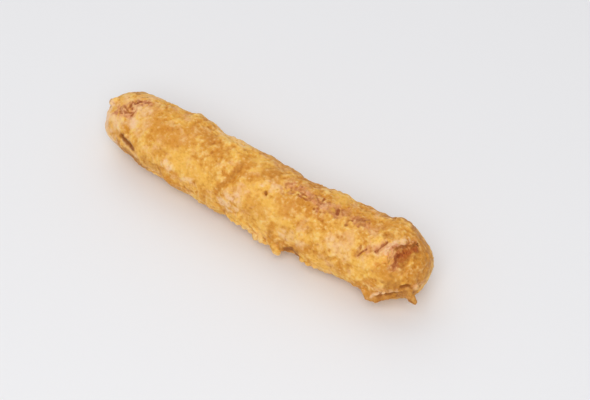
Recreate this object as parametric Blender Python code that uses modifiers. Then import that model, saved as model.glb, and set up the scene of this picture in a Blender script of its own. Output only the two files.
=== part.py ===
"""A battered sausage: a large sausage fried in a thick coat of batter, lying on its side.

Units are metres and +Z is up. The sausage lies along X, with the end whose coat is slit at -X
and the end whose coat is torn into a hood and a flap at +X. The origin is the bottom centre of
its box. A place on the coat is a station along X and an angle round the sausage in degrees:
0 is the +Y side, 90 the top, 180 the -Y side and 270 the underside.
"""

import math
import random
from typing import NamedTuple

import bmesh
import bpy
from mathutils import Matrix, Vector, noise

SLIT_TIP = -0.1008
HOOD_TIP = 0.0976
RADIUS = 0.0191
SLIT_DOME = 0.0185
HOOD_DOME = 0.0195
BOW = 0.0022
PRESSED_FLAT = 0.0007

ROWS_ALONG = 130
POINTS_AROUND = 76
KNOB_POINTS = 12
FUSE_VOXEL = 0.0015
SMOOTH_PASSES = 3
KEPT_SHARE = 0.30
COLOUR = (0.74, 0.38, 0.095, 1.0)
SEED = 7


class Girth(NamedTuple):
    """A stretch that is thicker or thinner all the way round."""

    station: float
    change: float
    reach: float


class Swelling(NamedTuple):
    """A rounded lump, or a hollow where its height is negative."""

    station: float
    angle: float
    height: float
    along: float
    around: float


class Crease(NamedTuple):
    """A straight ridge, or a groove where its height is negative, between two places."""

    start: tuple
    end: tuple
    height: float
    width: float


class Knob(NamedTuple):
    """A small lump of batter standing out of the coat: its place, size and how far it stands proud."""

    station: float
    angle: float
    radius: float
    proud: float


GIRTHS = (
    Girth(-0.086, -0.0024, 0.015),
    Girth(-0.058, -0.0004, 0.012),
    Girth(-0.035, -0.0004, 0.010),
    Girth(-0.020, 0.0004, 0.008),
    Girth(0.027, -0.0005, 0.006),
    Girth(0.076, 0.0011, 0.006),
)

SWELLINGS = (
    # The far upper side of the slit end, first slimmer and then fuller than the near side.
    Swelling(-0.094, 55.0, -0.0010, 0.007, 0.018),
    Swelling(-0.074, 40.0, 0.0007, 0.008, 0.012),
    # The shoulder of thick coat that ends in a step on the far upper side.
    Swelling(-0.060, 36.0, -0.0005, 0.0080, 0.012),
    Swelling(-0.049, 40.0, 0.0024, 0.0080, 0.013),
    Swelling(-0.035, 42.0, -0.0010, 0.0040, 0.012),
    # The long flat waist of the far side.
    Swelling(0.014, 30.0, -0.0013, 0.018, 0.018),
    Swelling(0.019, 34.0, -0.0008, 0.006, 0.012),
    Swelling(0.062, 36.0, 0.0010, 0.005, 0.010),
    # The red-gold bulge low on the near side.
    Swelling(-0.058, 208.0, -0.0005, 0.0060, 0.008),
    Swelling(-0.048, 204.0, 0.0017, 0.0050, 0.008),
    Swelling(-0.022, 208.0, 0.0008, 0.0060, 0.008),
    Swelling(-0.012, 212.0, -0.0016, 0.0028, 0.008),
    # The thick band that the fringe hangs from.
    Swelling(-0.003, 209.0, 0.0008, 0.0060, 0.0055),
    Swelling(0.011, 207.0, 0.0015, 0.0080, 0.0060),
    Swelling(0.020, 206.0, 0.0010, 0.0050, 0.0055),
    # The broad lumps of the near side, each side of the fringe.
    Swelling(-0.067, 195.0, 0.0008, 0.006, 0.010),
    Swelling(-0.078, 207.0, -0.0012, 0.005, 0.009),
    Swelling(-0.032, 208.0, 0.0007, 0.006, 0.008),
    Swelling(0.004, 160.0, 0.0006, 0.008, 0.009),
    Swelling(0.026, 209.0, 0.0010, 0.003, 0.006),
    Swelling(0.040, 203.0, 0.0016, 0.006, 0.008),
    Swelling(0.050, 206.0, 0.0012, 0.006, 0.008),
    # The collar of the hood, highest on the far upper side.
    Swelling(0.0740, 34.0, 0.0017, 0.0045, 0.014),
    Swelling(0.0950, 55.0, -0.0016, 0.0070, 0.018),
    Swelling(0.074, 92.0, 0.0009, 0.0060, 0.010),
    # The hollow that the hood leaves bare, and the smooth bulge under it.
    Swelling(0.0880, 103.0, -0.0023, 0.0048, 0.0090),
    Swelling(0.072, 119.0, -0.0012, 0.0050, 0.0050),
    Swelling(0.084, 148.0, -0.0006, 0.0070, 0.0050),
    Swelling(0.092, 207.0, -0.0026, 0.0090, 0.0120),
    # The unseen back and underside, as uneven as the rest.
    Swelling(-0.066, 330.0, 0.0010, 0.010, 0.010),
    Swelling(-0.020, 345.0, 0.0013, 0.009, 0.012),
    Swelling(0.032, 335.0, 0.0011, 0.012, 0.010),
    Swelling(0.058, 350.0, -0.0009, 0.006, 0.012),
)

CREASES = (
    # The groove that runs slantwise over the near side.
    Crease((-0.026, 148.0), (-0.007, 90.0), -0.0011, 0.0022),
    # The lip of the hood.
    Crease((0.0770, 146.0), (0.0812, 128.0), 0.0009, 0.0019),
    Crease((0.0812, 124.0), (0.0808, 106.0), 0.0012, 0.0019),
    Crease((0.0812, 102.0), (0.0840, 86.0), 0.0012, 0.0019),
    Crease((0.0845, 82.0), (0.0885, 72.0), 0.0009, 0.0018),
    # The fold that opens above the flap, under a thin lip.
    Crease((0.074, 190.0), (0.094, 166.0), 0.0009, 0.0015),
    Crease((0.078, 196.0), (0.095, 176.0), -0.0024, 0.0017),
    # A groove on the unseen side.
    Crease((-0.048, 10.0), (-0.030, 350.0), -0.0010, 0.0022),
)

# The size of each grade of unevenness in the fried coat, and how deep it goes.
RELIEF = ((0.0110, 0.00060), (0.0050, 0.00075), (0.0028, 0.00040))

NUB = Knob(-0.0980, 104.0, 0.0018, 0.0007)
DRIPS = (
    Knob(0.0080, 206.0, 0.0026, 0.0010),
    Knob(0.0115, 206.0, 0.0024, 0.0008),
    Knob(0.0210, 204.0, 0.0026, 0.0018),
    Knob(0.0228, 208.0, 0.0022, 0.0034),
    Knob(0.0390, 206.0, 0.0022, -0.0004),
    Knob(0.0945, 158.0, 0.0028, 0.0003),
)

FRINGE_START, FRINGE_END = -0.0065, 0.0225
FRINGE_ANGLE, FRINGE_SPREAD = 204.0, 6.0
FRINGE_KNOBS = 12
FRINGE_RADII = (0.0013, 0.0022)
SCATTERED_KNOBS = 34
SCATTERED_RADII = (0.0012, 0.0022)
SCATTERED_ANGLES = (215.0, 385.0)

# Lines of places, each a station, an angle and how far it stands proud.
FLAP_LINE = (
    (0.0735, 195.0, 0.0008),
    (0.0765, 200.0, 0.0032),
    (0.0800, 201.0, 0.0030),
    (0.0850, 199.0, 0.0026),
    (0.0900, 192.0, 0.0020),
)
FLAP_THICKNESS = 0.0024
TAIL_LINE = (
    (0.0925, 170.0, 0.0005),
    (0.0935, 183.0, 0.0022),
    (0.0942, 196.0, 0.0044),
    (0.0945, 208.0, 0.0068),
)
TAIL_THICKNESS = 0.0038
KNOBS_PER_STRETCH = 7


def gauss(distance):
    return math.exp(-distance * distance)


def angle_between(first, second):
    """The signed turn in degrees from the second angle to the first, from -180 to 180."""
    return (first - second + 180.0) % 360.0 - 180.0


def arc(turn):
    """The length on the coat of a turn in degrees."""
    return RADIUS * math.radians(turn)


def end_of(side):
    """The tip and the dome length of the end at -X or +X."""
    if side > 0:
        return HOOD_TIP, HOOD_DOME
    return SLIT_TIP, SLIT_DOME


def dome(station):
    """The share of the full radius left at a station: 1 along the middle, 0 at both tips."""
    tip, length = end_of(station)
    past = abs(station) - (abs(tip) - length)
    if past <= 0:
        return 1.0
    return math.sqrt(max(0.0, 1.0 - (past / length) ** 2))


def centre(station, axis_height):
    """The middle of the sausage at a station: it bows towards -Y between its ends."""
    tip, _ = end_of(station)
    bend = BOW * ((station / tip) ** 2 - 0.5)
    return Vector((station, bend, axis_height))


def swollen(station, angle):
    """What the girths and the swellings add to the radius at a place."""
    height = sum(g.change * gauss((station - g.station) / g.reach) for g in GIRTHS)
    for lump in SWELLINGS:
        along = (station - lump.station) / lump.along
        around = arc(angle_between(angle, lump.angle)) / lump.around
        height += lump.height * gauss(math.hypot(along, around))
    return height


def creased(station, angle):
    """What the ridges and grooves add to the radius at a place."""
    height = 0.0
    for crease in CREASES:
        begin, turn = crease.start
        run = Vector((crease.end[0] - begin, arc(angle_between(crease.end[1], turn))))
        place = Vector((station - begin, arc(angle_between(angle, turn))))
        share = min(1.0, max(0.0, place.dot(run) / run.length_squared))
        height += crease.height * gauss((place - run * share).length / crease.width)
    return height


def outward(angle):
    turn = math.radians(angle)
    return Vector((0.0, math.cos(turn), math.sin(turn)))


def relief(place):
    """The unevenness of the fried coat at a point of the smooth body."""
    return sum(depth * noise.noise(place / size) for size, depth in RELIEF)


def radius_at(station, angle):
    smooth = centre(station, 0.0) + outward(angle) * RADIUS
    return RADIUS + swollen(station, angle) + creased(station, angle) + relief(smooth)


def surface(station, angle, proud=0.0):
    """A point of the coat, or one that stands proud of it."""
    reach = dome(station) * radius_at(station, angle) + proud
    return centre(station, RADIUS - PRESSED_FLAT) + outward(angle) * reach


def station_of(latitude):
    """The station of a sphere's latitude, with the rows evenly spaced along the profile."""
    tip, length = end_of(latitude)
    straight = abs(tip) - length
    run = abs(latitude) / (math.pi / 2) * (straight + length * math.pi / 2)
    if run > straight:
        run = straight + length * math.sin((run - straight) / length)
    return math.copysign(run, tip)


def add_coat(shape):
    """The coat, as a sphere whose rows are drawn out along the sausage."""
    ball = bmesh.ops.create_uvsphere(
        shape, u_segments=POINTS_AROUND, v_segments=ROWS_ALONG, radius=1.0
    )
    for vertex in ball["verts"]:
        latitude = math.asin(max(-1.0, min(1.0, vertex.co.z)))
        angle = math.degrees(math.atan2(vertex.co.y, vertex.co.x))
        vertex.co = surface(station_of(latitude), angle)


def add_knob(shape, knob, stretch=1.0):
    """A ball of batter set into the coat."""
    place = surface(knob.station, knob.angle, knob.proud)
    size = Matrix.Diagonal((stretch, 1.0, 1.0, 1.0))
    bmesh.ops.create_uvsphere(
        shape,
        u_segments=KNOB_POINTS,
        v_segments=KNOB_POINTS // 2 + 1,
        radius=knob.radius,
        matrix=Matrix.Translation(place) @ size,
    )


def add_fringe(shape, chance):
    """The row of drips and knobs low on the near side."""
    for drip in DRIPS:
        add_knob(shape, drip)
    for number in range(FRINGE_KNOBS):
        share = (number + chance.random()) / FRINGE_KNOBS
        station = FRINGE_START + share * (FRINGE_END - FRINGE_START)
        angle = FRINGE_ANGLE + chance.uniform(-FRINGE_SPREAD, FRINGE_SPREAD)
        radius = chance.uniform(*FRINGE_RADII)
        add_knob(shape, Knob(station, angle, radius, radius * 0.2), stretch=1.2)


def add_scattered_knobs(shape, chance):
    """Small knobs over the sides and the underside, sunk well into the coat."""
    for _ in range(SCATTERED_KNOBS):
        station = chance.uniform(SLIT_TIP + SLIT_DOME, HOOD_TIP - HOOD_DOME)
        angle = chance.uniform(*SCATTERED_ANGLES)
        radius = chance.uniform(*SCATTERED_RADII)
        add_knob(shape, Knob(station, angle, radius, -radius * 0.35), stretch=1.3)


def add_string_of_knobs(shape, line, thickness):
    """A fin or a strip of batter: a close row of balls along a line of places that stand proud."""
    for start, end in zip(line, line[1:]):
        for step in range(KNOBS_PER_STRETCH):
            share = step / KNOBS_PER_STRETCH
            station, angle, proud = (a + (b - a) * share for a, b in zip(start, end))
            add_knob(shape, Knob(station, angle, thickness / 2, proud * 0.5))
            add_knob(shape, Knob(station, angle, thickness / 2, proud))


def batter_material():
    material = bpy.data.materials.new("fried_batter")
    material.use_nodes = True
    finish = material.node_tree.nodes["Principled BSDF"]
    finish.inputs["Base Color"].default_value = COLOUR
    finish.inputs["Roughness"].default_value = 0.5
    finish.inputs["Metallic"].default_value = 0.0
    return material


def collection_named(name):
    collection = bpy.data.collections.new(name)
    bpy.context.scene.collection.children.link(collection)
    return collection


def add_object(name, shape, collection):
    mesh = bpy.data.meshes.new(name)
    shape.to_mesh(mesh)
    shape.free()
    thing = bpy.data.objects.new(name, mesh)
    collection.objects.link(thing)
    return thing


def make_table_cutter(collection):
    """The block below z = 0, which leaves the flat strip that the sausage rests on."""
    shape = bmesh.new()
    size = (HOOD_TIP * 3, RADIUS * 6, RADIUS)
    middle = Matrix.Translation((0.0, 0.0, -RADIUS / 2))
    bmesh.ops.create_cube(shape, size=1.0, matrix=middle @ Matrix.Diagonal((*size, 1.0)))
    block = add_object("table_cutter", shape, collection)
    block.hide_render = True
    block.display_type = "WIRE"
    return block


def make_sausage(collection, cutter):
    chance = random.Random(SEED)
    shape = bmesh.new()
    add_coat(shape)
    add_knob(shape, NUB)
    add_fringe(shape, chance)
    add_scattered_knobs(shape, chance)
    add_string_of_knobs(shape, FLAP_LINE, FLAP_THICKNESS)
    add_string_of_knobs(shape, TAIL_LINE, TAIL_THICKNESS)
    sausage = add_object("battered_sausage", shape, collection)
    fuse = sausage.modifiers.new("Fuse", "REMESH")
    fuse.mode = "VOXEL"
    fuse.voxel_size = FUSE_VOXEL
    soften = sausage.modifiers.new("Soften", "SMOOTH")
    soften.iterations = SMOOTH_PASSES
    thin = sausage.modifiers.new("Thin", "DECIMATE")
    thin.ratio = KEPT_SHARE
    rest = sausage.modifiers.new("Rest", "BOOLEAN")
    rest.operation = "DIFFERENCE"
    rest.solver = "EXACT"
    rest.object = cutter
    sausage.data.materials.append(batter_material())
    return sausage


def centre_on_origin(sausage, cutter):
    """Moves the sausage and its cutter sideways, until the box's middle is over the origin."""
    bpy.context.view_layer.update()
    finished = sausage.evaluated_get(bpy.context.evaluated_depsgraph_get())
    corners = [Vector(corner) for corner in finished.bound_box]
    low = Vector(map(min, zip(*corners)))
    high = Vector(map(max, zip(*corners)))
    middle = (low + high) / 2
    for thing in (sausage, cutter):
        thing.location = (-middle.x, -middle.y, 0.0)
    bpy.context.view_layer.update()


def main():
    for thing in list(bpy.data.objects):
        bpy.data.objects.remove(thing)
    parts = collection_named("battered_sausage")
    cutters = collection_named("cutters")
    cutter = make_table_cutter(cutters)
    sausage = make_sausage(parts, cutter)
    centre_on_origin(sausage, cutter)


if __name__ == "__main__":
    main()
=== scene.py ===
"""The looks of a battered sausage: its craggy fried coat, on a plain pale floor in soft light.

Units are metres. A place on the coat is a station along X and an angle round the sausage in
degrees: 0 is the +Y side, 90 the top, 180 the -Y side and 270 the underside.
"""

import logging
import math
import random
from dataclasses import dataclass, field
from enum import Enum
from typing import NamedTuple, Sequence, Union

import bmesh
import bpy
import numpy as np
from mathutils import Matrix, Vector, kdtree, noise
from mathutils.bvhtree import BVHTree


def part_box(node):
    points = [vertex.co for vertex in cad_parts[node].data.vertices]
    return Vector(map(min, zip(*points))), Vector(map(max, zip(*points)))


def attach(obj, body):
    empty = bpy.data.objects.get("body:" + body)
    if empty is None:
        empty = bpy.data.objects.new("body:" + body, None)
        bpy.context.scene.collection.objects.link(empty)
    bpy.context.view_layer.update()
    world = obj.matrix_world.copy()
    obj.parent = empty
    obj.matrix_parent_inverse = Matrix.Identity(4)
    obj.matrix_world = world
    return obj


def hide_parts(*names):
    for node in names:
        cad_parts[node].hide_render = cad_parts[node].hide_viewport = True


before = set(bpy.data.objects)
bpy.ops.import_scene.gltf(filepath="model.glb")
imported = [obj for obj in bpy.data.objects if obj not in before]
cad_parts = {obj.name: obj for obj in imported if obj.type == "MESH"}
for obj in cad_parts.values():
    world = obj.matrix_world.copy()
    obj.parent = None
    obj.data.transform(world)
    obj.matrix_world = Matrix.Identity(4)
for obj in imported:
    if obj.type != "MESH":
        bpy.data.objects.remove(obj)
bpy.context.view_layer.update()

LOG = logging.getLogger("battered_sausage")
NODE = "battered_sausage"
BODY = "root"
MM = 0.001


class Place(NamedTuple):
    """A place on the coat: its station along X in metres and its angle in degrees."""

    station: float
    angle: float


def at(station_mm: float, angle: float) -> Place:
    """The place at a station in millimetres and an angle in degrees."""
    return Place(station_mm * MM, angle)


def smoothstep(share: np.ndarray) -> np.ndarray:
    """An even rise from 0 to 1, held outside that range."""
    held = np.clip(share, 0.0, 1.0)
    return held * held * (3.0 - 2.0 * held)


def tapered(share: np.ndarray, fade: float) -> np.ndarray:
    """1 along a line, and fading to 0 over the given share of its run at each end."""
    return smoothstep(share / fade) * smoothstep((1.0 - share) / fade)


# ---------------------------------------------------------------------------------------------
# Unevenness
# ---------------------------------------------------------------------------------------------


class Relief(NamedTuple):
    """An unevenness: how wide its bumps are, how deep, and a shift that makes each use differ."""

    size: float
    depth: float
    shift: float


BALL_STRAY = Relief(3.4 * MM, 0.6 * MM, 6.1)
# How billows are bent and how they swell, as shares of their own size and height.
BILLOW_BEND = Relief(1.6, 0.35, 8.3)
BILLOW_SWELL = Relief(1.3, 0.7, 2.9)
BILLOW_OCTAVES = 2


def levelled(values: np.ndarray) -> np.ndarray:
    """The values moved and scaled to a mean of 0 and a spread of 1."""
    return (values - values.mean()) / values.std()


def waves(points: np.ndarray, relief: Relief) -> np.ndarray:
    """Soft waves of the relief's size, with a mean of 0 and a spread of 1."""
    places = (points / relief.size + relief.shift).tolist()
    return levelled(np.array([noise.turbulence(place, 1, False) for place in places]))


def strayed(points: np.ndarray, relief: Relief) -> np.ndarray:
    """The points moved about, so that what is drawn through them has a ragged edge."""
    places = (points / relief.size + relief.shift).tolist()
    return points + relief.depth * np.array([noise.noise_vector(place)[:] for place in places])


def soft_billows(points: np.ndarray, relief: Relief) -> np.ndarray:
    """Rounded bumps with narrow creases between them, whose depth varies.

    Args:
        points: where to read them.
        relief: their size and shift.

    Returns:
        Heights with a mean of 0 and a spread of 1.
    """
    size, _, shift = relief
    bend = Relief(size * BILLOW_BEND.size, size * BILLOW_BEND.depth, shift + BILLOW_BEND.shift)
    places = (strayed(points, bend) / size + shift).tolist()
    rough = np.array([noise.turbulence(place, BILLOW_OCTAVES, True) for place in places])
    swell = Relief(size * BILLOW_SWELL.size, BILLOW_SWELL.depth, shift + BILLOW_SWELL.shift)
    return levelled(levelled(rough) + swell.depth * waves(points, swell))


# ---------------------------------------------------------------------------------------------
# The form
# ---------------------------------------------------------------------------------------------


@dataclass(frozen=True)
class Spine:
    """The gently bent middle line of the sausage, from which places on the coat are measured."""

    low: Vector
    high: Vector
    radius: float = 0.0191
    dome: float = 0.0190
    height: float = 0.0184
    drift: float = 0.0008
    bow: float = 0.0022

    @property
    def first(self) -> float:
        """The station where the dome at -X begins."""
        return self.low.x + self.dome

    @property
    def last(self) -> float:
        """The station where the dome at +X begins."""
        return self.high.x - self.dome

    def middle(self, station: np.ndarray) -> np.ndarray:
        """The points of the middle line.

        Args:
            station: stations along X.

        Returns:
            One point for each station, with a last axis of three.
        """
        half = (self.high.x - self.low.x) / 2
        side = self.drift + self.bow * ((station / half) ** 2 - 0.5)
        height = np.full_like(station, self.low.z + self.height)
        return np.stack([station, side, height], axis=-1)

    def travel_of(self, station: float) -> float:
        """The travel along the profile, which goes on round the domes to the tips.

        Args:
            station: a station along X.

        Returns:
            The travel, which is the station itself between the domes.
        """
        held = min(max(station, self.first), self.last)
        past = min(max((station - held) / self.radius, -1.0), 1.0)
        return held + self.radius * math.asin(past)

    def rays(self, travel: np.ndarray, angle: np.ndarray) -> tuple[np.ndarray, np.ndarray]:
        """Where the rays that find the coat start, and which way they go.

        Args:
            travel: travels along the profile.
            angle: angles in degrees, of the same shape.

        Returns:
            The starts on the middle line and the unit directions outwards.
        """
        station = np.clip(travel, self.first, self.last)
        lean = (travel - station) / self.radius
        turn = np.radians(angle)
        out = np.stack(
            [np.sin(lean), np.cos(lean) * np.cos(turn), np.cos(lean) * np.sin(turn)], axis=-1
        )
        return self.middle(station), out

    def outward(self, points: np.ndarray) -> np.ndarray:
        """The way out of the sausage at points on or near its coat.

        Args:
            points: the points, with a last axis of three.

        Returns:
            The unit direction from the middle line to each of them.
        """
        station = np.clip(points[..., 0], self.first, self.last)
        away = points - self.middle(station)
        return away / np.linalg.norm(away, axis=-1, keepdims=True)


def slid(values: np.ndarray, steps: int, axis: int) -> np.ndarray:
    """A field moved by some cells: it wraps round the sausage, and stops at the tips.

    Args:
        values: a field of rows along the sausage and columns round it.
        steps: how many cells to move by.
        axis: 0 for along, 1 for round.

    Returns:
        The moved field.
    """
    if axis == 1:
        return np.roll(values, steps, axis=1)
    rows = np.clip(np.arange(len(values)) - steps, 0, len(values) - 1)
    return values[rows]


def opened(values: np.ndarray, reach: int, axis: int) -> np.ndarray:
    """A field without its narrow peaks.

    Args:
        values: a field of rows along the sausage and columns round it.
        reach: half the width of the widest peak that goes, in cells.
        axis: 0 for along, 1 for round.

    Returns:
        The field without them.
    """
    steps = range(-reach, reach + 1)
    worn = np.min([slid(values, step, axis) for step in steps], axis=0)
    return np.max([slid(worn, step, axis) for step in steps], axis=0)


def blurred(values: np.ndarray, passes: int) -> np.ndarray:
    """A field with each cell evened out with its neighbours.

    Args:
        values: a field of rows along the sausage and columns round it.
        passes: how many times to even it out.

    Returns:
        The even field.
    """
    for _ in range(passes):
        for axis in (0, 1):
            beside = slid(values, 1, axis) + slid(values, -1, axis)
            values = values / 2 + beside / 4
    return values


@dataclass
class Body:
    """The even form of the sausage, drawn over the solid and free of its knobs, flap and tail."""

    spine: Spine
    solid: bpy.types.Object
    rows: int = 430
    columns: int = 230
    knob_cells: int = 6
    even_passes: int = 7
    tip_mm: float = 0.02
    travel: np.ndarray = field(init=False)
    angle: np.ndarray = field(init=False)
    points: np.ndarray = field(init=False)
    out: np.ndarray = field(init=False)

    def __post_init__(self) -> None:
        """Finds how far the solid reaches on every ray."""
        quarter = self.spine.radius * math.pi / 2
        ends = self.spine.first - quarter, self.spine.last + quarter
        travel = np.linspace(*ends, self.rows + 2)[1:-1]
        angle = np.arange(self.columns) * 360.0 / self.columns
        self.travel, self.angle = np.meshgrid(travel, angle, indexing="ij")
        starts, self.out = self.spine.rays(self.travel, self.angle)
        reach = self.reaches(starts, self.out)
        for axis in (0, 1):
            reach = opened(reach, self.knob_cells, axis)
        reach = blurred(reach, self.even_passes)
        self.points = starts + self.out * reach[..., None]

    def reaches(self, starts: np.ndarray, out: np.ndarray) -> np.ndarray:
        """The distance along each ray to the solid's surface.

        Args:
            starts: where the rays start.
            out: their directions.

        Returns:
            The distances, in the grid's rows and columns.
        """
        mesh = self.solid.data
        corners = [vertex.co for vertex in mesh.vertices]
        tree = BVHTree.FromPolygons(corners, [tuple(face.vertices) for face in mesh.polygons])
        flat = zip(starts.reshape(-1, 3).tolist(), out.reshape(-1, 3).tolist())
        hits = [tree.ray_cast(Vector(start), Vector(way))[3] for start, way in flat]
        found = [self.spine.radius if hit is None else hit for hit in hits]
        return np.array(found).reshape(out.shape[:2])

    def cell(self, place: Place) -> tuple[int, int]:
        """Finds a place on the grid.

        Args:
            place: the place.

        Returns:
            The row and the column of the cell nearest to it.
        """
        travel = self.spine.travel_of(place.station)
        row = int(np.argmin(np.abs(self.travel[:, 0] - travel)))
        column = int(round(place.angle / 360.0 * self.columns)) % self.columns
        return row, column

    def point(self, place: Place, proud: float = 0.0) -> np.ndarray:
        """The point of the coat at a place, or one that stands proud of it."""
        row, column = self.cell(place)
        return self.points[row, column] + self.out[row, column] * proud

    def mesh(self, name: str) -> bpy.types.Mesh:
        """A closed mesh through the grid's points, with a tip at each end.

        Args:
            name: the mesh's name.

        Returns:
            The mesh.
        """
        rows, columns = self.rows, self.columns
        tips = [
            self.points[row].mean(axis=0) + self.out[row].mean(axis=0) * MM * self.tip_mm
            for row in (0, -1)
        ]
        corners = np.concatenate([self.points.reshape(-1, 3), tips])
        near = np.arange(rows * columns).reshape(rows, columns)
        beside = np.roll(near, -1, axis=1)
        quads = np.stack([near[:-1], near[1:], beside[1:], beside[:-1]], axis=-1).reshape(-1, 4)
        first, last = rows * columns, rows * columns + 1
        faces = quads.tolist()
        faces += [(first, a, b) for a, b in zip(near[0].tolist(), beside[0].tolist())]
        faces += [(last, b, a) for a, b in zip(near[-1].tolist(), beside[-1].tolist())]
        made = bpy.data.meshes.new(name)
        made.from_pydata(corners.tolist(), [], faces)
        return made


# ---------------------------------------------------------------------------------------------
# What is shaped into the coat
# ---------------------------------------------------------------------------------------------


SHORT_LINE = 0.05 * MM


@dataclass(frozen=True)
class Line:
    """A line of places drawn on the body, as points in space.

    Distances from it are measured along the coat, so that they are the same at the foot of a
    groove or on the end of a drip as where the line runs, up to its slack in height.
    """

    points: np.ndarray
    slack: float = 0.0055

    def nearest(self, points: np.ndarray, out: np.ndarray) -> tuple[np.ndarray, ...]:
        """How points lie to the line.

        Args:
            points: the points, one to a row.
            out: the outward direction at each of them.

        Returns:
            Their distances, their shares of the line's run, the side that they lie on, which is
            positive to the left of someone who walks the line, and the gaps from the line.
        """
        runs = np.diff(self.points, axis=0)
        lengths = np.linalg.norm(runs, axis=1)
        before = np.concatenate([[0.0], np.cumsum(lengths)])
        best = np.full(len(points), np.inf)
        share = np.zeros(len(points))
        side = np.zeros(len(points))
        gaps = np.zeros_like(points)
        for start, run, length, begun in zip(self.points, runs, lengths, before):
            away = points - start
            along = np.clip(away @ run / length**2, 0.0, 1.0)
            gap = away - along[:, None] * run
            height = np.einsum("ij,ij->i", gap, out)
            gap = gap - height[:, None] * out
            beyond = np.maximum(np.abs(height) - self.slack, 0.0)
            distance = np.hypot(np.linalg.norm(gap, axis=1), beyond)
            nearer = distance < best
            best = np.where(nearer, distance, best)
            share = np.where(nearer, (begun + along * length) / before[-1], share)
            turned = np.einsum("ij,ij->i", np.cross(run, away), out)
            side = np.where(nearer, np.sign(turned), side)
            gaps = np.where(nearer[:, None], gap, gaps)
        return best, share, side, gaps


def line_on(body: Body, places: Sequence[Place]) -> Line:
    """The line through places on the body.

    Args:
        body: the body.
        places: the places. A single one becomes a very short line.

    Returns:
        The line.
    """
    points = [body.point(place) for place in places]
    if len(points) == 1:
        points.append(points[0] + np.array([SHORT_LINE, 0.0, 0.0]))
    return Line(np.array(points))


@dataclass(frozen=True)
class Groove:
    """A groove along a line, or a ridge where its depth is negative. Its ends fade out.

    Its width is half its span. Its walls are steeper with a greater wall power. At its ends the
    least share of its depth is left.
    """

    line: tuple[Place, ...]
    depth: float
    width: float
    fade: float = 0.15
    wall: float = 2.0
    least: float = 0.25

    def height(self, body: Body, points: np.ndarray, out: np.ndarray) -> np.ndarray:
        """How the groove changes the height of points.

        Args:
            body: the body that is shaped.
            points: the points, one to a row.
            out: the outward direction at each of them.

        Returns:
            What it adds to the height of each of them.
        """
        distance, share, _, _ = line_on(body, self.line).nearest(points, out)
        ends = np.maximum(tapered(share, self.fade), self.least)
        return -self.depth * np.exp(-((distance / self.width) ** self.wall)) * ends


@dataclass(frozen=True)
class Swell:
    """A rounded lump, or a hollow where its height is negative."""

    place: Place
    rise: float
    reach: float

    def height(self, body: Body, points: np.ndarray, out: np.ndarray) -> np.ndarray:
        """What the lump adds to each point's height."""
        distance = np.linalg.norm(points - body.point(self.place), axis=1)
        return self.rise * np.exp(-((distance / self.reach) ** 2))


@dataclass(frozen=True)
class Brim:
    """The torn edge of a thick layer: it stands up on the line's left, and is bare on its right."""

    line: tuple[Place, ...]
    rise: float
    drop: float
    rise_reach: float
    drop_reach: float
    lean: float
    lean_reach: float = 0.0016
    edge: float = 0.0003
    fade: float = 0.12
    closest: float = 0.2 * MM

    def height(self, body: Body, points: np.ndarray, out: np.ndarray) -> np.ndarray:
        """How the brim changes the height of points.

        Args:
            body: the body that is shaped.
            points: the points, one to a row.
            out: the outward direction at each of them.

        Returns:
            What it adds to the height of each of them.
        """
        distance, share, side, _ = line_on(body, self.line).nearest(points, out)
        above = self.above(distance, side)
        crest = self.rise * np.exp(-((distance / self.rise_reach) ** 2))
        foot = -self.drop * np.exp(-((distance / self.drop_reach) ** 2))
        return (above * crest + (1.0 - above) * foot) * tapered(share, self.fade)

    def shift(self, body: Body, points: np.ndarray, out: np.ndarray) -> np.ndarray:
        """How the standing side leans out over the bare one.

        Args:
            body: the body that is shaped.
            points: the points, one to a row.
            out: the outward direction at each of them.

        Returns:
            The move of each of them.
        """
        distance, share, side, gap = line_on(body, self.line).nearest(points, out)
        near = np.exp(-((distance / self.lean_reach) ** 2))
        leaning = self.lean * self.above(distance, side) * near * tapered(share, self.fade)
        return -gap / np.maximum(distance, self.closest)[:, None] * leaning[:, None]

    def above(self, distance: np.ndarray, side: np.ndarray) -> np.ndarray:
        """1 on the standing side of the line and 0 on the bare one, with a soft step between."""
        return smoothstep(0.5 + distance * side / (2 * self.edge))


Shaping = Union[Groove, Swell, Brim]

HOOD_BRIM = (
    at(88.8, 62), at(88.4, 69), at(88.2, 75), at(87.4, 81), at(86.4, 86),
    at(85.2, 92), at(83.8, 99), at(82.0, 107), at(81.5, 114), at(82.8, 119),
    at(83.6, 125), at(82.2, 133), at(79.8, 141), at(78.2, 148),
)
LOWER_BRIM = (at(76.6, 198), at(81.2, 189), at(85.6, 178), at(90.4, 171), at(94.6, 165))
SLIT = (at(-80.2, 161.0), at(-77.9, 162.3), at(-75.3, 165.2), at(-71.6, 166.2))
GROOVE = (
    at(-16.2, 160), at(-14.8, 147), at(-13.2, 135), at(-11.6, 123),
    at(-10.9, 109), at(-10.4, 96), at(-10.8, 80),
)
PIT = (at(9.3, 120),)
LEAF_EDGE = (at(78.0, 200), at(86.0, 197), at(91.4, 190))
NICK = (at(92.8, 163), at(94.1, 159.5), at(95.4, 159.5))

# The lines along which the mesh is made finer.
FINE_LINES = (SLIT, HOOD_BRIM, LOWER_BRIM, PIT, LEAF_EDGE)

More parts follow.
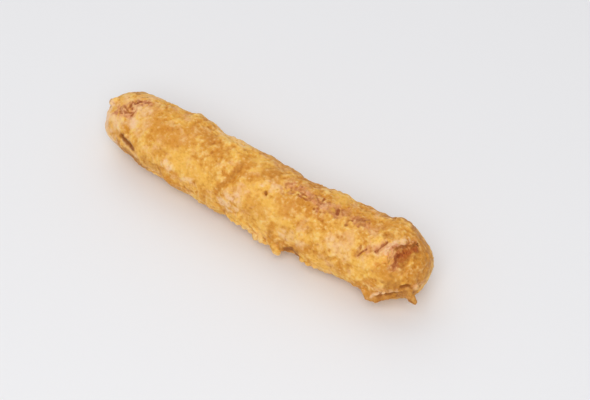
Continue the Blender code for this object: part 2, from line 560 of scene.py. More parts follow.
SHAPINGS: tuple[Shaping, ...] = (
    Brim(HOOD_BRIM, 1.3 * MM, 1.5 * MM, 2.8 * MM, 4.2 * MM, 1.1 * MM),
    # The floor of the bare place is lumpy where the skin shows.
    Swell(at(87.2, 97), -0.7 * MM, 3.2 * MM),
    Swell(at(84.4, 111), 0.5 * MM, 1.1 * MM),
    Swell(at(87.4, 119), 0.5 * MM, 1.2 * MM),
    Swell(at(90.4, 78), 0.7 * MM, 0.9 * MM),
    # The hood stands proud of the coat behind it, with a dip at its neck.
    Swell(at(77.0, 48), 0.9 * MM, 5.5 * MM),
    Groove((at(66.0, 40), at(67.6, 54), at(70.0, 70)), 0.5 * MM, 2.0 * MM, 0.35),
    # The smooth swollen place under the hood.
    Swell(at(86.0, 146), 0.5 * MM, 4.5 * MM),
    # The folds of the hood, before its edge.
    Groove((at(77.6, 100), at(76.4, 106), at(75.6, 114), at(75.0, 122)), 1.0 * MM, 1.2 * MM),
    Groove((at(72.4, 118), at(70.0, 124.5), at(68.4, 132), at(67.0, 140)), 0.8 * MM, 1.1 * MM),
    Groove((at(79.6, 103), at(78.2, 110), at(77.4, 117), at(76.8, 124)), -0.7 * MM, 1.1 * MM),
    Groove((at(66.8, 124), at(66.3, 133), at(66.2, 142)), 0.4 * MM, 1.2 * MM),
    Swell(at(75.0, 92), -0.6 * MM, 1.6 * MM),
    # The slanting groove over the near side, with a swollen bank to each side.
    Groove(GROOVE, 0.65 * MM, 2.2 * MM, 0.3),
    Groove((at(-20.5, 146), at(-17.4, 124), at(-15.6, 98)), -0.40 * MM, 2.9 * MM, 0.3),
    Groove((at(-10.0, 153), at(-6.4, 130), at(-5.2, 104)), -0.45 * MM, 3.0 * MM, 0.3),
    # A swollen place low on the near side.
    Swell(at(-46.0, 193), 0.7 * MM, 3.6 * MM),
    # The pale ridge beside the pit.
    Groove((at(7.5, 100), at(6.0, 108), at(4.8, 116)), -0.45 * MM, 1.0 * MM),
)

CUTS: tuple[Shaping, ...] = (
    # The slit, the arch in the fringe and the nick where the flap starts.
    Groove(SLIT, 1.7 * MM, 1.30 * MM, 0.12, 3.0),
    Swell(at(-80.6, 161), -0.9 * MM, 1.1 * MM),
    Swell(at(30.5, 198), -0.9 * MM, 2.6 * MM),
    Groove(NICK, 0.7 * MM, 0.7 * MM),
    # A shallow line beside the slit.
    Groove((at(-79.6, 168), at(-74.0, 171.5), at(-69.0, 173)), 0.3 * MM, 0.7 * MM),
    # The pit, and the notch in the hood's edge.
    Swell(at(9.2, 120), -0.9 * MM, 1.0 * MM),
    Groove((at(9.2, 119), at(10.6, 125)), 0.5 * MM, 0.6 * MM, 0.3),
    Swell(at(89.2, 70), -1.2 * MM, 0.9 * MM),
)


@dataclass(frozen=True)
class Ball:
    """A ball of batter: its middle, its radii and which way its long side turns."""

    middle: np.ndarray
    radii: tuple[float, float, float]
    turn: float = 0.0


def ball_mesh(name: str, balls: Sequence[Ball]) -> bpy.types.Mesh:
    """One mesh of many balls, drawn out of round.

    Args:
        name: the mesh's name.
        balls: the balls.

    Returns:
        The mesh, with every ball closed on its own.
    """
    shape = bmesh.new()
    bmesh.ops.create_icosphere(shape, subdivisions=2, radius=1.0)
    corners = np.array([vertex.co for vertex in shape.verts])
    faces = np.array([[vertex.index for vertex in face.verts] for face in shape.faces])
    shape.free()
    placed = []
    for ball in balls:
        turned = np.array(Matrix.Rotation(ball.turn, 3, "Y"))
        placed.append((corners * ball.radii) @ turned.T + ball.middle)
    numbers = [faces + index * len(corners) for index in range(len(balls))]
    points = strayed(np.concatenate(placed), BALL_STRAY)
    made = bpy.data.meshes.new(name)
    made.from_pydata(points.tolist(), [], np.concatenate(numbers).tolist())
    return made


@dataclass(frozen=True)
class Strand:
    """A string of balls along places that stand proud: a lip, a strip or a drip."""

    line: tuple[tuple[Place, float], ...]
    radii: tuple[float, float]
    spacing: float = 0.0006
    unevenness: float = 0.25
    wander: float = 0.0002
    fewest: int = 2

    def balls(self, body: Body, chance: random.Random) -> list[Ball]:
        """The balls of the string.

        Args:
            body: the body that it grows from.
            chance: the source of its unevenness.

        Returns:
            The balls, from the first end to the last.
        """
        knots = [body.point(place, proud) for place, proud in self.line]
        lengths = [float(np.linalg.norm(b - a)) for a, b in zip(knots, knots[1:])]
        whole, done, made = sum(lengths), 0.0, []
        for start, end, length in zip(knots, knots[1:], lengths):
            count = max(self.fewest, int(length / self.spacing))
            for step in range(count):
                share = step / count
                along = (done + share * length) / whole
                radius = self.radii[0] + (self.radii[1] - self.radii[0]) * along
                radius *= 1.0 + chance.uniform(-self.unevenness, self.unevenness)
                shift = np.array([chance.uniform(-self.wander, self.wander) for _ in range(3)])
                made.append(Ball(start + (end - start) * share + shift, (radius,) * 3))
            done += length
        return made


@dataclass(frozen=True)
class Web:
    """A thin sheet of batter between two lines that stand proud, drawn as close strings."""

    inner: tuple[tuple[Place, float], ...]
    outer: tuple[tuple[Place, float], ...]
    thickness: tuple[float, float]
    strings: int = 5
    spacing: float = 0.0007
    unevenness: float = 0.18

    def balls(self, body: Body, chance: random.Random) -> list[Ball]:
        """The balls of the sheet.

        Args:
            body: the body that it grows from.
            chance: the source of its unevenness.

        Returns:
            The balls, string by string from the inner line to the outer one.
        """
        made = []
        for number in range(self.strings):
            share = number / (self.strings - 1)
            line = []
            for (near, low), (far, high) in zip(self.inner, self.outer):
                place = Place(
                    near.station + (far.station - near.station) * share,
                    near.angle + (far.angle - near.angle) * share,
                )
                line.append((place, low + (high - low) * share))
            thickness = self.thickness[0] + (self.thickness[1] - self.thickness[0]) * share
            radii = (thickness / 2, thickness / 2)
            string = Strand(tuple(line), radii, self.spacing, self.unevenness)
            made += string.balls(body, chance)
        return made


@dataclass(frozen=True)
class HoodEdge:
    """The crumbs that hang on the torn edge of the hood."""

    crumbs: int = 22
    radii: tuple[float, float] = (0.6 * MM, 1.1 * MM)
    lengths: tuple[float, float] = (1.0, 1.6)
    flatness: float = 0.8
    lift: float = 0.4 * MM
    spread: float = 0.6 * MM

    def balls(self, body: Body, chance: random.Random) -> list[Ball]:
        """The balls of the edge.

        Args:
            body: the body that it grows from.
            chance: the source of its unevenness.

        Returns:
            One drawn-out ball for each crumb.
        """
        made = []
        for _ in range(self.crumbs):
            first = chance.randrange(1, len(HOOD_BRIM) - 2)
            start, end = (body.point(HOOD_BRIM[index], self.lift) for index in (first, first + 1))
            shift = np.array([chance.uniform(-self.spread, self.spread) for _ in range(3)])
            radius = chance.uniform(*self.radii)
            radii = (radius * chance.uniform(*self.lengths), radius, radius * self.flatness)
            middle = start + (end - start) * chance.random() + shift
            made.append(Ball(middle, radii, chance.uniform(0.0, math.pi)))
        return made


@dataclass(frozen=True)
class Flap:
    """The fold at the foot of the torn end: a thin upper lip, a gap, and a leaf hanging below."""

    lip: Strand = Strand(
        (
            (at(76.0, 199), 0.6 * MM), (at(79.8, 194), 1.2 * MM), (at(83.4, 184), 1.3 * MM),
            (at(87.0, 176), 1.2 * MM), (at(91.1, 171), 1.0 * MM), (at(94.0, 166), 0.9 * MM),
        ),
        (0.62 * MM, 0.55 * MM), 0.0005, 0.25, 0.0002,
    )
    leaf: Web = Web(
        (
            (at(74.4, 194), -0.4 * MM), (at(78.2, 196), -0.2 * MM), (at(82.0, 193), -0.2 * MM),
            (at(86.6, 189), -0.2 * MM), (at(91.4, 183), -0.2 * MM),
        ),
        (
            (at(74.8, 197), 0.7 * MM), (at(77.6, 200.5), 2.7 * MM), (at(81.8, 200.5), 2.5 * MM),
            (at(86.6, 196), 1.8 * MM), (at(91.2, 189), 0.9 * MM),
        ),
        (2.6 * MM, 2.1 * MM),
    )

    def balls(self, body: Body, chance: random.Random) -> list[Ball]:
        """The balls of the lip and the leaf."""
        return self.lip.balls(body, chance) + self.leaf.balls(body, chance)


@dataclass(frozen=True)
class Tail:
    """The strip of batter that hangs from under the torn end."""

    line: tuple[tuple[Place, float], ...] = (
        (at(94.7, 169), -0.2 * MM), (at(95.4, 180), 1.5 * MM),
        (at(95.7, 190), 3.0 * MM), (at(95.9, 198), 4.5 * MM),
    )
    radii: tuple[float, float] = (1.4 * MM, 1.4 * MM)
    spacing: float = 0.8 * MM
    unevenness: float = 0.08
    side_steps: tuple[float, ...] = (-2.1 * MM, -1.1 * MM, -0.1 * MM, 0.9 * MM)

    def balls(self, body: Body, chance: random.Random) -> list[Ball]:
        """The balls of the strip: one string, side by side with itself across the strip's width.

        Args:
            body: the body that it grows from.
            chance: the source of its unevenness.

        Returns:
            The balls, string by string.
        """
        string = Strand(self.line, self.radii, self.spacing, self.unevenness).balls(body, chance)
        shifts = [np.array([step, 0.0, 0.0]) for step in self.side_steps]
        return [Ball(ball.middle + shift, ball.radii) for shift in shifts for ball in string]


@dataclass(frozen=True)
class Fringe:
    """The row of drips and knobs low on the near side, and the loose knobs of the whole coat."""

    drips: tuple[tuple[Place, float, float], ...] = (
        (at(-95.6, 105), 2.1 * MM, 0.6 * MM),
        (at(-94.6, 99), 2.0 * MM, 0.2 * MM),
        (at(-5.5, 197), 2.2 * MM, -1.3 * MM),
        (at(-1.8, 197), 2.3 * MM, -1.0 * MM),
        (at(2.2, 201), 2.0 * MM, -0.9 * MM),
        (at(6.2, 201), 2.5 * MM, -0.9 * MM),
        (at(10.2, 203), 2.5 * MM, -0.1 * MM),
        (at(13.7, 201.5), 2.6 * MM, 0.3 * MM),
        (at(16.0, 205), 1.8 * MM, 0.7 * MM),
        (at(19.2, 196), 3.0 * MM, -0.7 * MM),
        (at(21.4, 200), 2.6 * MM, 0.5 * MM),
        (at(22.4, 202.5), 2.5 * MM, 1.5 * MM),
        (at(22.8, 204), 2.1 * MM, 2.5 * MM),
        (at(24.4, 205), 1.5 * MM, 2.7 * MM),
        (at(25.6, 199), 1.8 * MM, 0.2 * MM),
        (at(38.2, 200), 2.0 * MM, -0.7 * MM),
        (at(41.0, 203), 1.8 * MM, -0.3 * MM),
        (at(45.0, 200), 2.3 * MM, -1.0 * MM),
        (at(97.2, 164), 2.0 * MM, 0.1 * MM),
        (at(96.4, 168), 1.4 * MM, 0.9 * MM),
    )
    row_start: float = -8.0 * MM
    row_end: float = 26.0 * MM
    row_angle: float = 194.0
    row_spread: float = 13.0
    row_knobs: int = 20
    row_radii_mm: tuple[float, float] = (1.8, 3.0)
    row_lift: float = -0.55
    loose_knobs: int = 46
    loose_radii_mm: tuple[float, float] = (1.2, 2.7)
    loose_lift: float = -0.70
    loose_margins: tuple[float, float] = (8 * MM, 4 * MM)
    knob_lengths: tuple[float, float] = (1.0, 1.7)
    knob_heights: tuple[float, float] = (0.8, 1.1)

    def balls(self, body: Body, chance: random.Random) -> list[Ball]:
        """The balls of the fringe.

        Args:
            body: the body that it grows from.
            chance: the source of its unevenness.

        Returns:
            The named drips, the row and the loose knobs.
        """
        made = [
            Ball(body.point(place, proud), (radius,) * 3) for place, radius, proud in self.drips
        ]
        for number in range(self.row_knobs):
            share = (number + chance.random()) / self.row_knobs
            station = self.row_start + share * (self.row_end - self.row_start)
            angle = self.row_angle + chance.uniform(-self.row_spread, self.row_spread)
            radius = chance.uniform(*self.row_radii_mm) * MM
            made.append(self.knob(body, Place(station, angle), radius, self.row_lift, chance))
        first = body.spine.low.x + self.loose_margins[0]
        last = body.spine.high.x - self.loose_margins[1]
        for _ in range(self.loose_knobs):
            place = Place(chance.uniform(first, last), chance.uniform(0.0, 360.0))
            radius = chance.uniform(*self.loose_radii_mm) * MM
            made.append(self.knob(body, place, radius, self.loose_lift, chance))
        return made

    def knob(
        self, body: Body, place: Place, radius: float, lift: float, chance: random.Random
    ) -> Ball:
        """A knob drawn out to one side.

        Args:
            body: the body that it grows from.
            place: where it sits.
            radius: its radius.
            lift: how far its middle stands proud, in radii.
            chance: the source of its unevenness.

        Returns:
            The knob.
        """
        length = radius * chance.uniform(*self.knob_lengths)
        height = radius * chance.uniform(*self.knob_heights)
        turn = chance.uniform(0.0, math.pi)
        return Ball(body.point(place, lift * radius), (length, radius, height), turn)


# ---------------------------------------------------------------------------------------------
# Where the coat changes its tone, and where shade is painted on it
# ---------------------------------------------------------------------------------------------


class Tone(Enum):
    """The ways in which a part of the coat differs from the rest."""

    THIN = "thin"
    PALE = "pale"
    DEEP = "deep"
    PINK = "pink"
    BARE = "bare"
    # Painted shade: in the slit, the pit and the nick, and under the lips, the flap and the arch in
    # the fringe.
    DARK = "painted_shade"
    SMOOTH = "smooth"
    BRIGHT = "bright"
    TOASTED = "toasted"
    FOLD = "fold"


# Folds show as creases, so the finish doesn't read them as a tone.
PAINTED = tuple(tone for tone in Tone if tone is not Tone.FOLD)

# What else the finish reads: how deep a point is in a crease, and how far it stands out of its
# near and its wider surroundings, which is cut off at the most that counts.
CREASE, CREST, SWELL = "crease", "crest", "swell"
MOST_PROUD = 1.5


@dataclass(frozen=True)
class Patch:
    """A patch of one tone round a line of places, with a ragged edge."""

    tone: Tone
    line: tuple[Place, ...]
    reach: float
    strength: float = 1.0
    ragged: float = 0.35


PatchRow = tuple[Union[float, tuple[float, float]], ...]


def patches(tone: Tone, *rows: PatchRow) -> tuple[Patch, ...]:
    """Patches of one tone.

    Args:
        tone: the tone.
        rows: a row for each patch: its reach in millimetres, its strength, how ragged it is, and
            then its places, each a station in millimetres and an angle.

    Returns:
        The patches.
    """
    return tuple(
        Patch(tone, tuple(at(*place) for place in places), reach * MM, strength, ragged)
        for reach, strength, ragged, *places in rows
    )


# In every row: reach, strength, raggedness, and then the places.

# The slit end: thin crinkled coat with its folds, pale pink round the slit, and painted shade in
# the slit and along the lower near edge.
SLIT_END = (
    Patch(Tone.DEEP, SLIT, 2.4 * MM, 0.8, 0.35),
    *patches(Tone.DEEP, (6, 0.65, 0.35, (-68, 92), (-63, 100))),
    *patches(
        Tone.TOASTED,
        (2.2, 0.9, 0.35, (-96.4, 104)), (5, 0.85, 0.6, (-94, 40), (-86, 48)),
        # The toasted band low on the near side is a toasted brown and partly painted shade along
        # the lower edge.
        (5.6, 1.0, 0.6, (-80, 193), (-66, 198)),
    ),
    *patches(
        Tone.PINK,
        (5, 0.9, 0.35, (-95, 120), (-95.5, 150), (-92, 172)),
        (5, 0.7, 0.35, (-88, 118), (-79, 100), (-76, 84)), (6, 0.7, 0.35, (-88, 196), (-94, 205)),
        (5, 0.6, 0.35, (-80, 74), (-72, 82)), (4, 0.7, 0.35, (-79, 96), (-72, 102), (-70, 112)),
        (3.2, 0.9, 0.35, (-77.5, 124), (-74.5, 128)),
    ),
    *patches(
        Tone.PALE,
        (6, 0.95, 0.35, (-96, 130), (-95, 165)), (4, 0.6, 0.6, (-90, 140), (-85, 138)),
        (0.55, 0.8, 0.35, (-88.6, 112), (-87.2, 113.8)), (6.5, 1.0, 0.35, (-88, 196), (-95, 206)),
        (0.55, 0.8, 0.35, (-86.4, 110.4), (-84.4, 113)),
        (0.55, 0.8, 0.35, (-81.4, 115.4), (-80.6, 118.4)),
        (1.4, 0.5, 0.35, (-79.6, 168), (-73, 171)), (4, 0.5, 1.0, (-79, 90), (-76, 96)),
        (0.6, 0.8, 0.35, (-78.8, 89), (-77.6, 86)), (3, 0.8, 0.35, (-77.5, 124), (-74.5, 128)),
    ),
    Patch(Tone.SMOOTH, SLIT, 4.5 * MM, 0.8, 0.35),
    *patches(
        Tone.SMOOTH,
        (6, 0.6, 0.35, (-92, 150), (-84, 150)), (3.6, 0.9, 0.35, (-77.5, 124), (-74.5, 128)),
    ),
    *patches(
        Tone.THIN,
        (3.2, 1.0, 0.5, (-89.5, 121), (-86, 118), (-82.5, 114), (-79.5, 111)),
        (2.2, 1.0, 0.5, (-87, 106), (-84, 100), (-80.5, 107)),
        (2.2, 1.0, 0.5, (-84.2, 97), (-82.5, 89), (-79, 84), (-74.5, 77)),
    ),
    *patches(
        Tone.FOLD,
        (0.45, 0.7, 0.35, (-89.3, 112.6), (-88.9, 114.4)), (0.55, 0.6, 0.35, (-88.7, 82.4)),
        (0.5, 0.7, 0.35, (-88.4, 118.6), (-87.2, 116.8)),
        (0.45, 0.6, 0.35, (-88.1, 122.2), (-86, 120.9)),
        (0.5, 0.8, 0.35, (-87.3, 104.6), (-85.4, 108.6), (-83, 111.2)),
        (0.55, 0.6, 0.35, (-86.9, 75.2)), (0.5, 0.8, 0.35, (-86, 114.2), (-83.8, 117.2)),
        (0.5, 0.8, 0.35, (-84.6, 89), (-84.2, 91.4)),
        (0.6, 0.7, 0.5, (-84.6, 115.2), (-82, 112.6), (-79.2, 109)),
        (0.9, 1.0, 0.35, (-84.1, 96.6), (-83.3, 100.2)),
        (0.5, 0.9, 0.7, (-83.2, 88.7), (-82.2, 93)),
        (0.5, 0.5, 0.35, (-82.4, 74.3), (-78.9, 69.3)),
        (0.5, 0.7, 0.35, (-81.8, 101.6), (-80.8, 105.6)),
        (0.95, 1.0, 0.5, (-81, 87), (-80, 82.5)),
        (0.55, 1.0, 0.35, (-79.1, 109.3), (-79.4, 118.1)),
        (0.75, 0.9, 0.5, (-76.8, 81), (-75.4, 76)),
    ),
    # Painted shade in the slit, and a little along the lower near edge.
    Patch(Tone.DARK, SLIT, 2.2 * MM, 1.0, 0.3),
    *patches(Tone.DARK, (3, 0.2, 0.8, (-76, 197), (-69, 198))),
)

# The shoulder: a deep gold and smooth stretch, with pale and bright places below it.
SHOULDER = (
    *patches(
        Tone.DEEP,
        (5.5, 0.85, 0.35, (-64, 108), (-50, 114)), (3, 0.6, 0.8, (-63, 67), (-60, 68)),
        (4.5, 0.9, 0.35, (-49, 190), (-41, 196)), (4, 0.8, 0.8, (-45, 90), (-39, 81), (-28, 86)),
        (3.4, 0.8, 0.6, (-45, 106), (-40.6, 106)), (3.5, 0.8, 0.8, (-44, 53), (-41, 54)),
        (2.6, 0.6, 0.6, (-44, 171), (-41, 170)),
    ),
    *patches(
        Tone.BRIGHT,
        (3.2, 0.7, 0.8, (-65, 84), (-56, 82), (-50, 84)),
        (5.5, 0.8, 0.6, (-44, 142), (-36, 150), (-30, 148)), (6, 1.0, 0.8, (-32, 48), (-18, 56)),
        (4, 0.9, 0.6, (-27, 150), (-22, 150)),
    ),
    *patches(
        Tone.TOASTED,
        (3.2, 0.5, 0.6, (-62, 177), (-55, 175)), (3, 0.6, 0.6, (-49, 197), (-41, 199)),
    ),
    *patches(
        Tone.PALE,
        (2.8, 1.0, 0.35, (-50, 158), (-47, 160)), (3, 0.7, 0.6, (-36, 167), (-32, 166)),
        (4, 0.6, 0.8, (-32, 46), (-20, 54)),
    ),
    *patches(
        Tone.SMOOTH,
        (5.5, 0.7, 0.35, (-61, 112), (-52, 118)),
        (5, 0.6, 0.6, (-44, 142), (-36, 150), (-30, 148)),
    ),
)

# The middle: the slanting groove and its pale pink bank, the pit, and the bright fringe, with
# painted shade in the pit, under the arch in the fringe and along the far top edge.
MIDDLE = (
    Patch(Tone.DEEP, GROOVE, 2.4 * MM, 0.85, 0.7),
    *patches(
        Tone.DEEP,
        (2.2, 0.8, 0.6, (-13, 159), (-11.8, 150)), (3, 0.7, 0.6, (-13, 176), (-8, 175)),
        # This band along the far top edge is painted shade, where the coat turns away from the
        # lamps.
        (4.5, 0.55, 0.35, (-12, 44), (0, 46), (26, 50)),
        (2.6, 0.85, 0.6, (-9.6, 127), (-8, 114), (0, 103)), (3, 0.9, 0.6, (-9, 92), (-7, 93)),
        (4, 0.6, 0.8, (3, 141), (12, 147)), (4.2, 1.0, 0.6, (5, 87), (9, 83)),
        (2.6, 0.9, 0.6, (8.4, 95), (11, 96)), (2, 0.9, 0.35, (9.3, 120)),
        (5, 0.6, 0.35, (18, 78), (28, 80)), (2.2, 1.0, 0.35, (18.4, 168), (19.4, 188)),
        (4.6, 0.8, 0.8, (19, 112), (30, 115)), (5, 0.8, 0.8, (20, 46), (31, 48)),
        (3.4, 0.8, 0.8, (20, 186), (28, 188)), (3.2, 0.8, 0.6, (22, 133), (28, 131)),
        (4, 0.8, 0.8, (24, 100), (34, 104)), (3.8, 1.0, 0.8, (27, 197), (33, 198)),
    ),
    *patches(
        Tone.BRIGHT,
        (4.2, 0.9, 0.8, (-17, 80), (-12, 76), (-6, 69)), (4.4, 0.9, 0.8, (-14, 171), (-3, 171)),
        (5.5, 1.0, 0.8, (-4, 194), (10, 196), (20, 190)), (3.2, 1.0, 0.6, (-1.4, 146), (2, 147)),
        (2.2, 0.8, 0.6, (1, 79), (2.6, 80)), (6, 0.9, 0.6, (4, 136), (16, 137)),
        (4.5, 1.0, 0.8, (5, 112), (13, 108)), (3.2, 1.0, 0.6, (12, 173), (18, 174), (24, 178)),
        (3.6, 1.0, 0.6, (14, 102), (18, 101)), (3, 1.0, 0.4, (21.5, 200), (24, 205)),
        (2.6, 0.9, 0.6, (24.6, 145), (28.6, 145)),
    ),
    Patch(Tone.TOASTED, GROOVE[1:-1], 1.6 * MM, 0.65, 0.6),
    *patches(
        Tone.TOASTED,
        # The first of these is a thin painted shade band along the far top edge.
        (2.4, 0.4, 0.8, (-12, 38), (30, 38)), (3.6, 0.4, 0.8, (4, 86), (8, 82)),
        (1.2, 0.5, 0.35, (18.6, 174), (19.2, 184)), (3.2, 0.35, 0.9, (19, 190), (27, 190)),
        (4, 0.35, 0.9, (20, 46), (31, 48)), (3.4, 0.9, 0.8, (28.6, 199), (34, 200)),
    ),
    *patches(Tone.PINK, (3.8, 0.9, 0.35, (-8.4, 152), (-5, 146), (-3, 132))),
    *patches(
        Tone.PALE,
        (3.4, 0.8, 0.8, (-12, 168), (-4, 169)), (2.4, 0.7, 0.35, (-8, 154), (-4, 147)),
        (4, 0.3, 0.35, (4, 196), (15, 198)), (1.3, 0.8, 0.35, (7.4, 101), (5, 115)),
        (2.8, 0.6, 0.8, (12, 104), (16, 101)), (1.8, 0.7, 0.35, (23.6, 207)),
        (3.4, 0.5, 0.8, (26, 168), (36, 164)), (1.2, 1.0, 0.35, (28.1, 86)),
    ),
    *patches(Tone.SMOOTH, (6, 0.6, 0.6, (6, 132), (14, 134), (24, 140))),
    *patches(Tone.THIN, (3, 0.9, 0.8, (17, 92), (25, 84), (31, 90))),
    *patches(
        Tone.FOLD,
        (0.6, 0.8, 0.35, (22.7, 80.3)), (0.5, 0.8, 0.35, (24, 97.5), (29.2, 96.7)),
        (0.5, 0.7, 0.35, (24.2, 90.1), (28, 91.1)),
    ),
    # Painted shade in the pit and under the arch in the fringe.
    *patches(
        Tone.DARK,
        (0.8, 0.7, 0.4, (9, 119), (9.8, 122.5)), (2, 0.9, 0.4, (29, 197), (31.5, 194), (35, 198)),
    ),
)

# From the middle to the hood: thin red-brown places along the top, the arch in the fringe, and a
# painted shade band along the far top edge.
NEAR_HOOD = (
    *patches(
        Tone.DEEP,
        (2.4, 0.7, 0.6, (31, 138), (34, 138)), (3, 0.8, 0.35, (31, 196), (36, 200)),
        (3.4, 1.0, 0.6, (34, 110), (39, 110)), (3.2, 1.0, 0.6, (34, 180), (40, 176)),
        (2.4, 0.8, 0.6, (34.4, 95), (37, 96)), (3, 0.9, 0.6, (36, 79), (39, 78)),
        (2.4, 0.6, 0.6, (42.6, 163)), (2.4, 0.9, 0.35, (42.6, 191)),
        # The second of these is a painted shade band along the far top edge.
        (5, 0.7, 0.35, (50, 80), (64, 84)), (4.5, 0.55, 0.35, (54, 50), (66, 50)),
    ),
    *patches(
        Tone.BRIGHT,
        (3, 1.0, 0.6, (35.6, 155), (40, 152)), (5.2, 0.9, 0.8, (36, 190), (48, 190)),
        (4.6, 0.9, 0.8, (39, 48), (48, 48)), (3, 0.9, 0.8, (43, 73), (47, 73)),
        (2.4, 0.8, 0.6, (51.4, 92), (53, 90)),
    ),
    *patches(
        Tone.TOASTED,
        # The second of these is a thin painted shade band along the far top edge.
        (2.6, 0.3, 0.9, (44, 92), (50, 92), (62, 88)), (2.4, 0.4, 0.8, (54, 38), (68, 36)),
    ),
    *patches(
        Tone.PALE,
        (1.2, 0.8, 0.35, (39, 90), (38.6, 99)), (4, 0.5, 0.35, (52, 140), (60, 150)),
    ),
    *patches(
        Tone.THIN,
        (3.4, 0.9, 0.8, (34, 90), (39, 95), (44, 90), (50.5, 86)),
        (3.2, 0.8, 0.8, (57, 92), (63, 88)),
    ),
    *patches(
        Tone.FOLD,
        (0.6, 0.6, 0.35, (31.2, 80.8), (35.7, 93.1)), (0.8, 0.7, 0.35, (35.4, 105.7)),
        (0.6, 0.8, 0.35, (36.6, 81.1), (37.2, 94.6)), (0.8, 0.7, 0.35, (39.7, 106.1)),
        (0.7, 0.6, 0.35, (40.3, 84.4)), (1.1, 1.0, 0.35, (46.1, 87.5), (47.4, 96)),
        (0.7, 0.6, 0.35, (47.2, 102.8)), (0.8, 0.7, 0.35, (54.4, 106.4)),
        (0.9, 0.8, 0.35, (56, 95)), (1.4, 0.6, 0.6, (58, 90), (59.9, 84)),
    ),
)

# The hood: pink folds, a bare rusty place under its edge, deep gold below, the flap and the tail,
# with painted shade under the hood's edge, under the flap's lip and in the nick.
HOOD_END = (
    *patches(
        Tone.DEEP,
        (3.6, 0.6, 0.8, (68, 198), (78, 194)), (5, 0.9, 0.8, (70, 42), (80, 46), (88, 50)),
        (4, 0.6, 0.8, (72, 76), (78, 70), (86, 66)), (2.8, 1.0, 0.35, (75.4, 92), (77.4, 92)),
        (3, 0.9, 0.6, (77, 170), (81, 168)), (3, 1.0, 0.5, (82, 140), (86, 139)),
        (4.6, 0.85, 0.6, (82, 146), (88.6, 148)), (4, 0.8, 0.4, (84, 196), (95, 196)),
        (4, 1.0, 0.6, (88.8, 86), (88.6, 104), (88.8, 120)),
        (8, 1.0, 0.6, (95.5, 60), (96, 100), (96, 140)),
    ),
    *patches(
        Tone.BRIGHT,
        (4, 0.9, 0.6, (68, 148), (75, 140), (79, 134)),
        (4.4, 0.8, 0.6, (70, 164), (78, 158), (83, 157)),
        (3.4, 0.5, 0.8, (79, 76), (79, 88), (74, 102)), (2, 0.9, 0.35, (80.4, 99)),
        (2.6, 1.0, 0.35, (82, 119), (78.4, 133)), (2.8, 0.8, 0.6, (89.4, 149), (94, 146)),
    ),
    *patches(
        Tone.TOASTED,
        (4.6, 0.75, 0.8, (70, 40), (80, 44), (92, 50)), (2.2, 0.6, 0.35, (75.6, 92), (77.4, 92)),
        (2.8, 0.9, 0.4, (77, 203), (82, 199), (87.6, 190), (92.4, 181)),
        (2.8, 0.9, 0.6, (88.6, 107), (89, 118)),
        (5.2, 0.95, 0.6, (89, 166), (93, 178), (91, 196)), (2.8, 0.85, 0.6, (90.4, 84), (90, 98)),
        (4.5, 0.95, 0.2, (95.2, 180), (95.6, 195), (96, 210)),
        (7, 0.5, 0.8, (97, 50), (97.5, 100), (97.5, 170)),
    ),
    *patches(
        Tone.PINK,
        (3.6, 1.0, 0.35, (79.6, 104), (77.4, 112), (74.6, 121), (69.5, 132)),
        (2.2, 1.0, 0.35, (82.8, 107), (84.4, 113)), (2.2, 1.0, 0.35, (84.6, 98), (83.6, 106)),
    ),
    *patches(
        Tone.PALE,
        # The pale edge of the flap's lip is the lip's own paler batter and partly a painted
        # highlight.
        (0.8, 0.9, 0.2, (79.8, 194), (83.4, 184), (87, 176), (91.1, 171)),
        (2.1, 0.8, 0.35, (85, 79), (82.8, 90), (81.2, 99), (79.7, 107), (79.8, 114)),
        (1.1, 0.9, 0.35, (90.4, 78)), (2, 0.6, 0.35, (97.2, 160), (97.6, 172)),
    ),
    *patches(Tone.SMOOTH, (4.2, 0.7, 0.5, (82, 145), (89, 149))),
    *patches(
        Tone.THIN,
        (1.8, 0.7, 0.5, (70.6, 122), (68.8, 131), (66.8, 140)),
        (1.8, 0.7, 0.5, (78, 103), (76.6, 112), (74.6, 121)),
        (2.2, 0.9, 0.4, (82.8, 106), (83, 114), (84.6, 120)),
        (2.4, 0.9, 0.6, (83.8, 104), (85, 112), (86, 122), (86.1, 130)),
        (2, 0.8, 0.4, (84.6, 99), (83.8, 106)),
    ),
    *patches(
        Tone.FOLD,
        (0.8, 0.4, 0.35, (66.6, 125), (66.3, 142)),
        (0.6, 0.8, 0.35, (70, 124.5), (68.4, 132), (67, 140)),
        (0.8, 0.9, 0.35, (77.4, 101), (76, 112), (75, 122)),
        (0.7, 0.9, 0.5, (85.8, 110), (85.2, 116), (86.3, 122)),
    ),
    *patches(
        Tone.BARE,
        (2.6, 0.75, 0.6, (85.2, 104), (86.4, 113), (86.8, 122)),
        (3.3, 1.0, 0.35, (89, 84), (88.8, 91), (87.4, 99), (86.6, 106)),
    ),
    # Painted shade under the lower lip and the flap, under the hood's torn edge, in its notch and
    # in the nick.
    *patches(
        Tone.DARK,
        (0.9, 0.8, 0.3, (82.6, 192), (86, 186), (92, 177)),
        (0.55, 0.6, 0.6, (84.2, 123), (83.6, 128)), (0.8, 1.0, 0.3, (88.9, 67.5), (89.8, 72)),
        (0.8, 0.75, 0.6, (89, 79), (88.2, 84), (87.2, 89), (85.8, 95), (84.4, 102), (83.3, 108)),
        (0.9, 0.8, 0.4, (92.6, 178), (90.6, 182)),
        (0.9, 0.95, 0.4, (92.8, 163), (94.1, 159.5), (95.4, 159.5)),
    ),
)

PATCHES: tuple[Patch, ...] = SLIT_END + SHOULDER + MIDDLE + NEAR_HOOD + HOOD_END


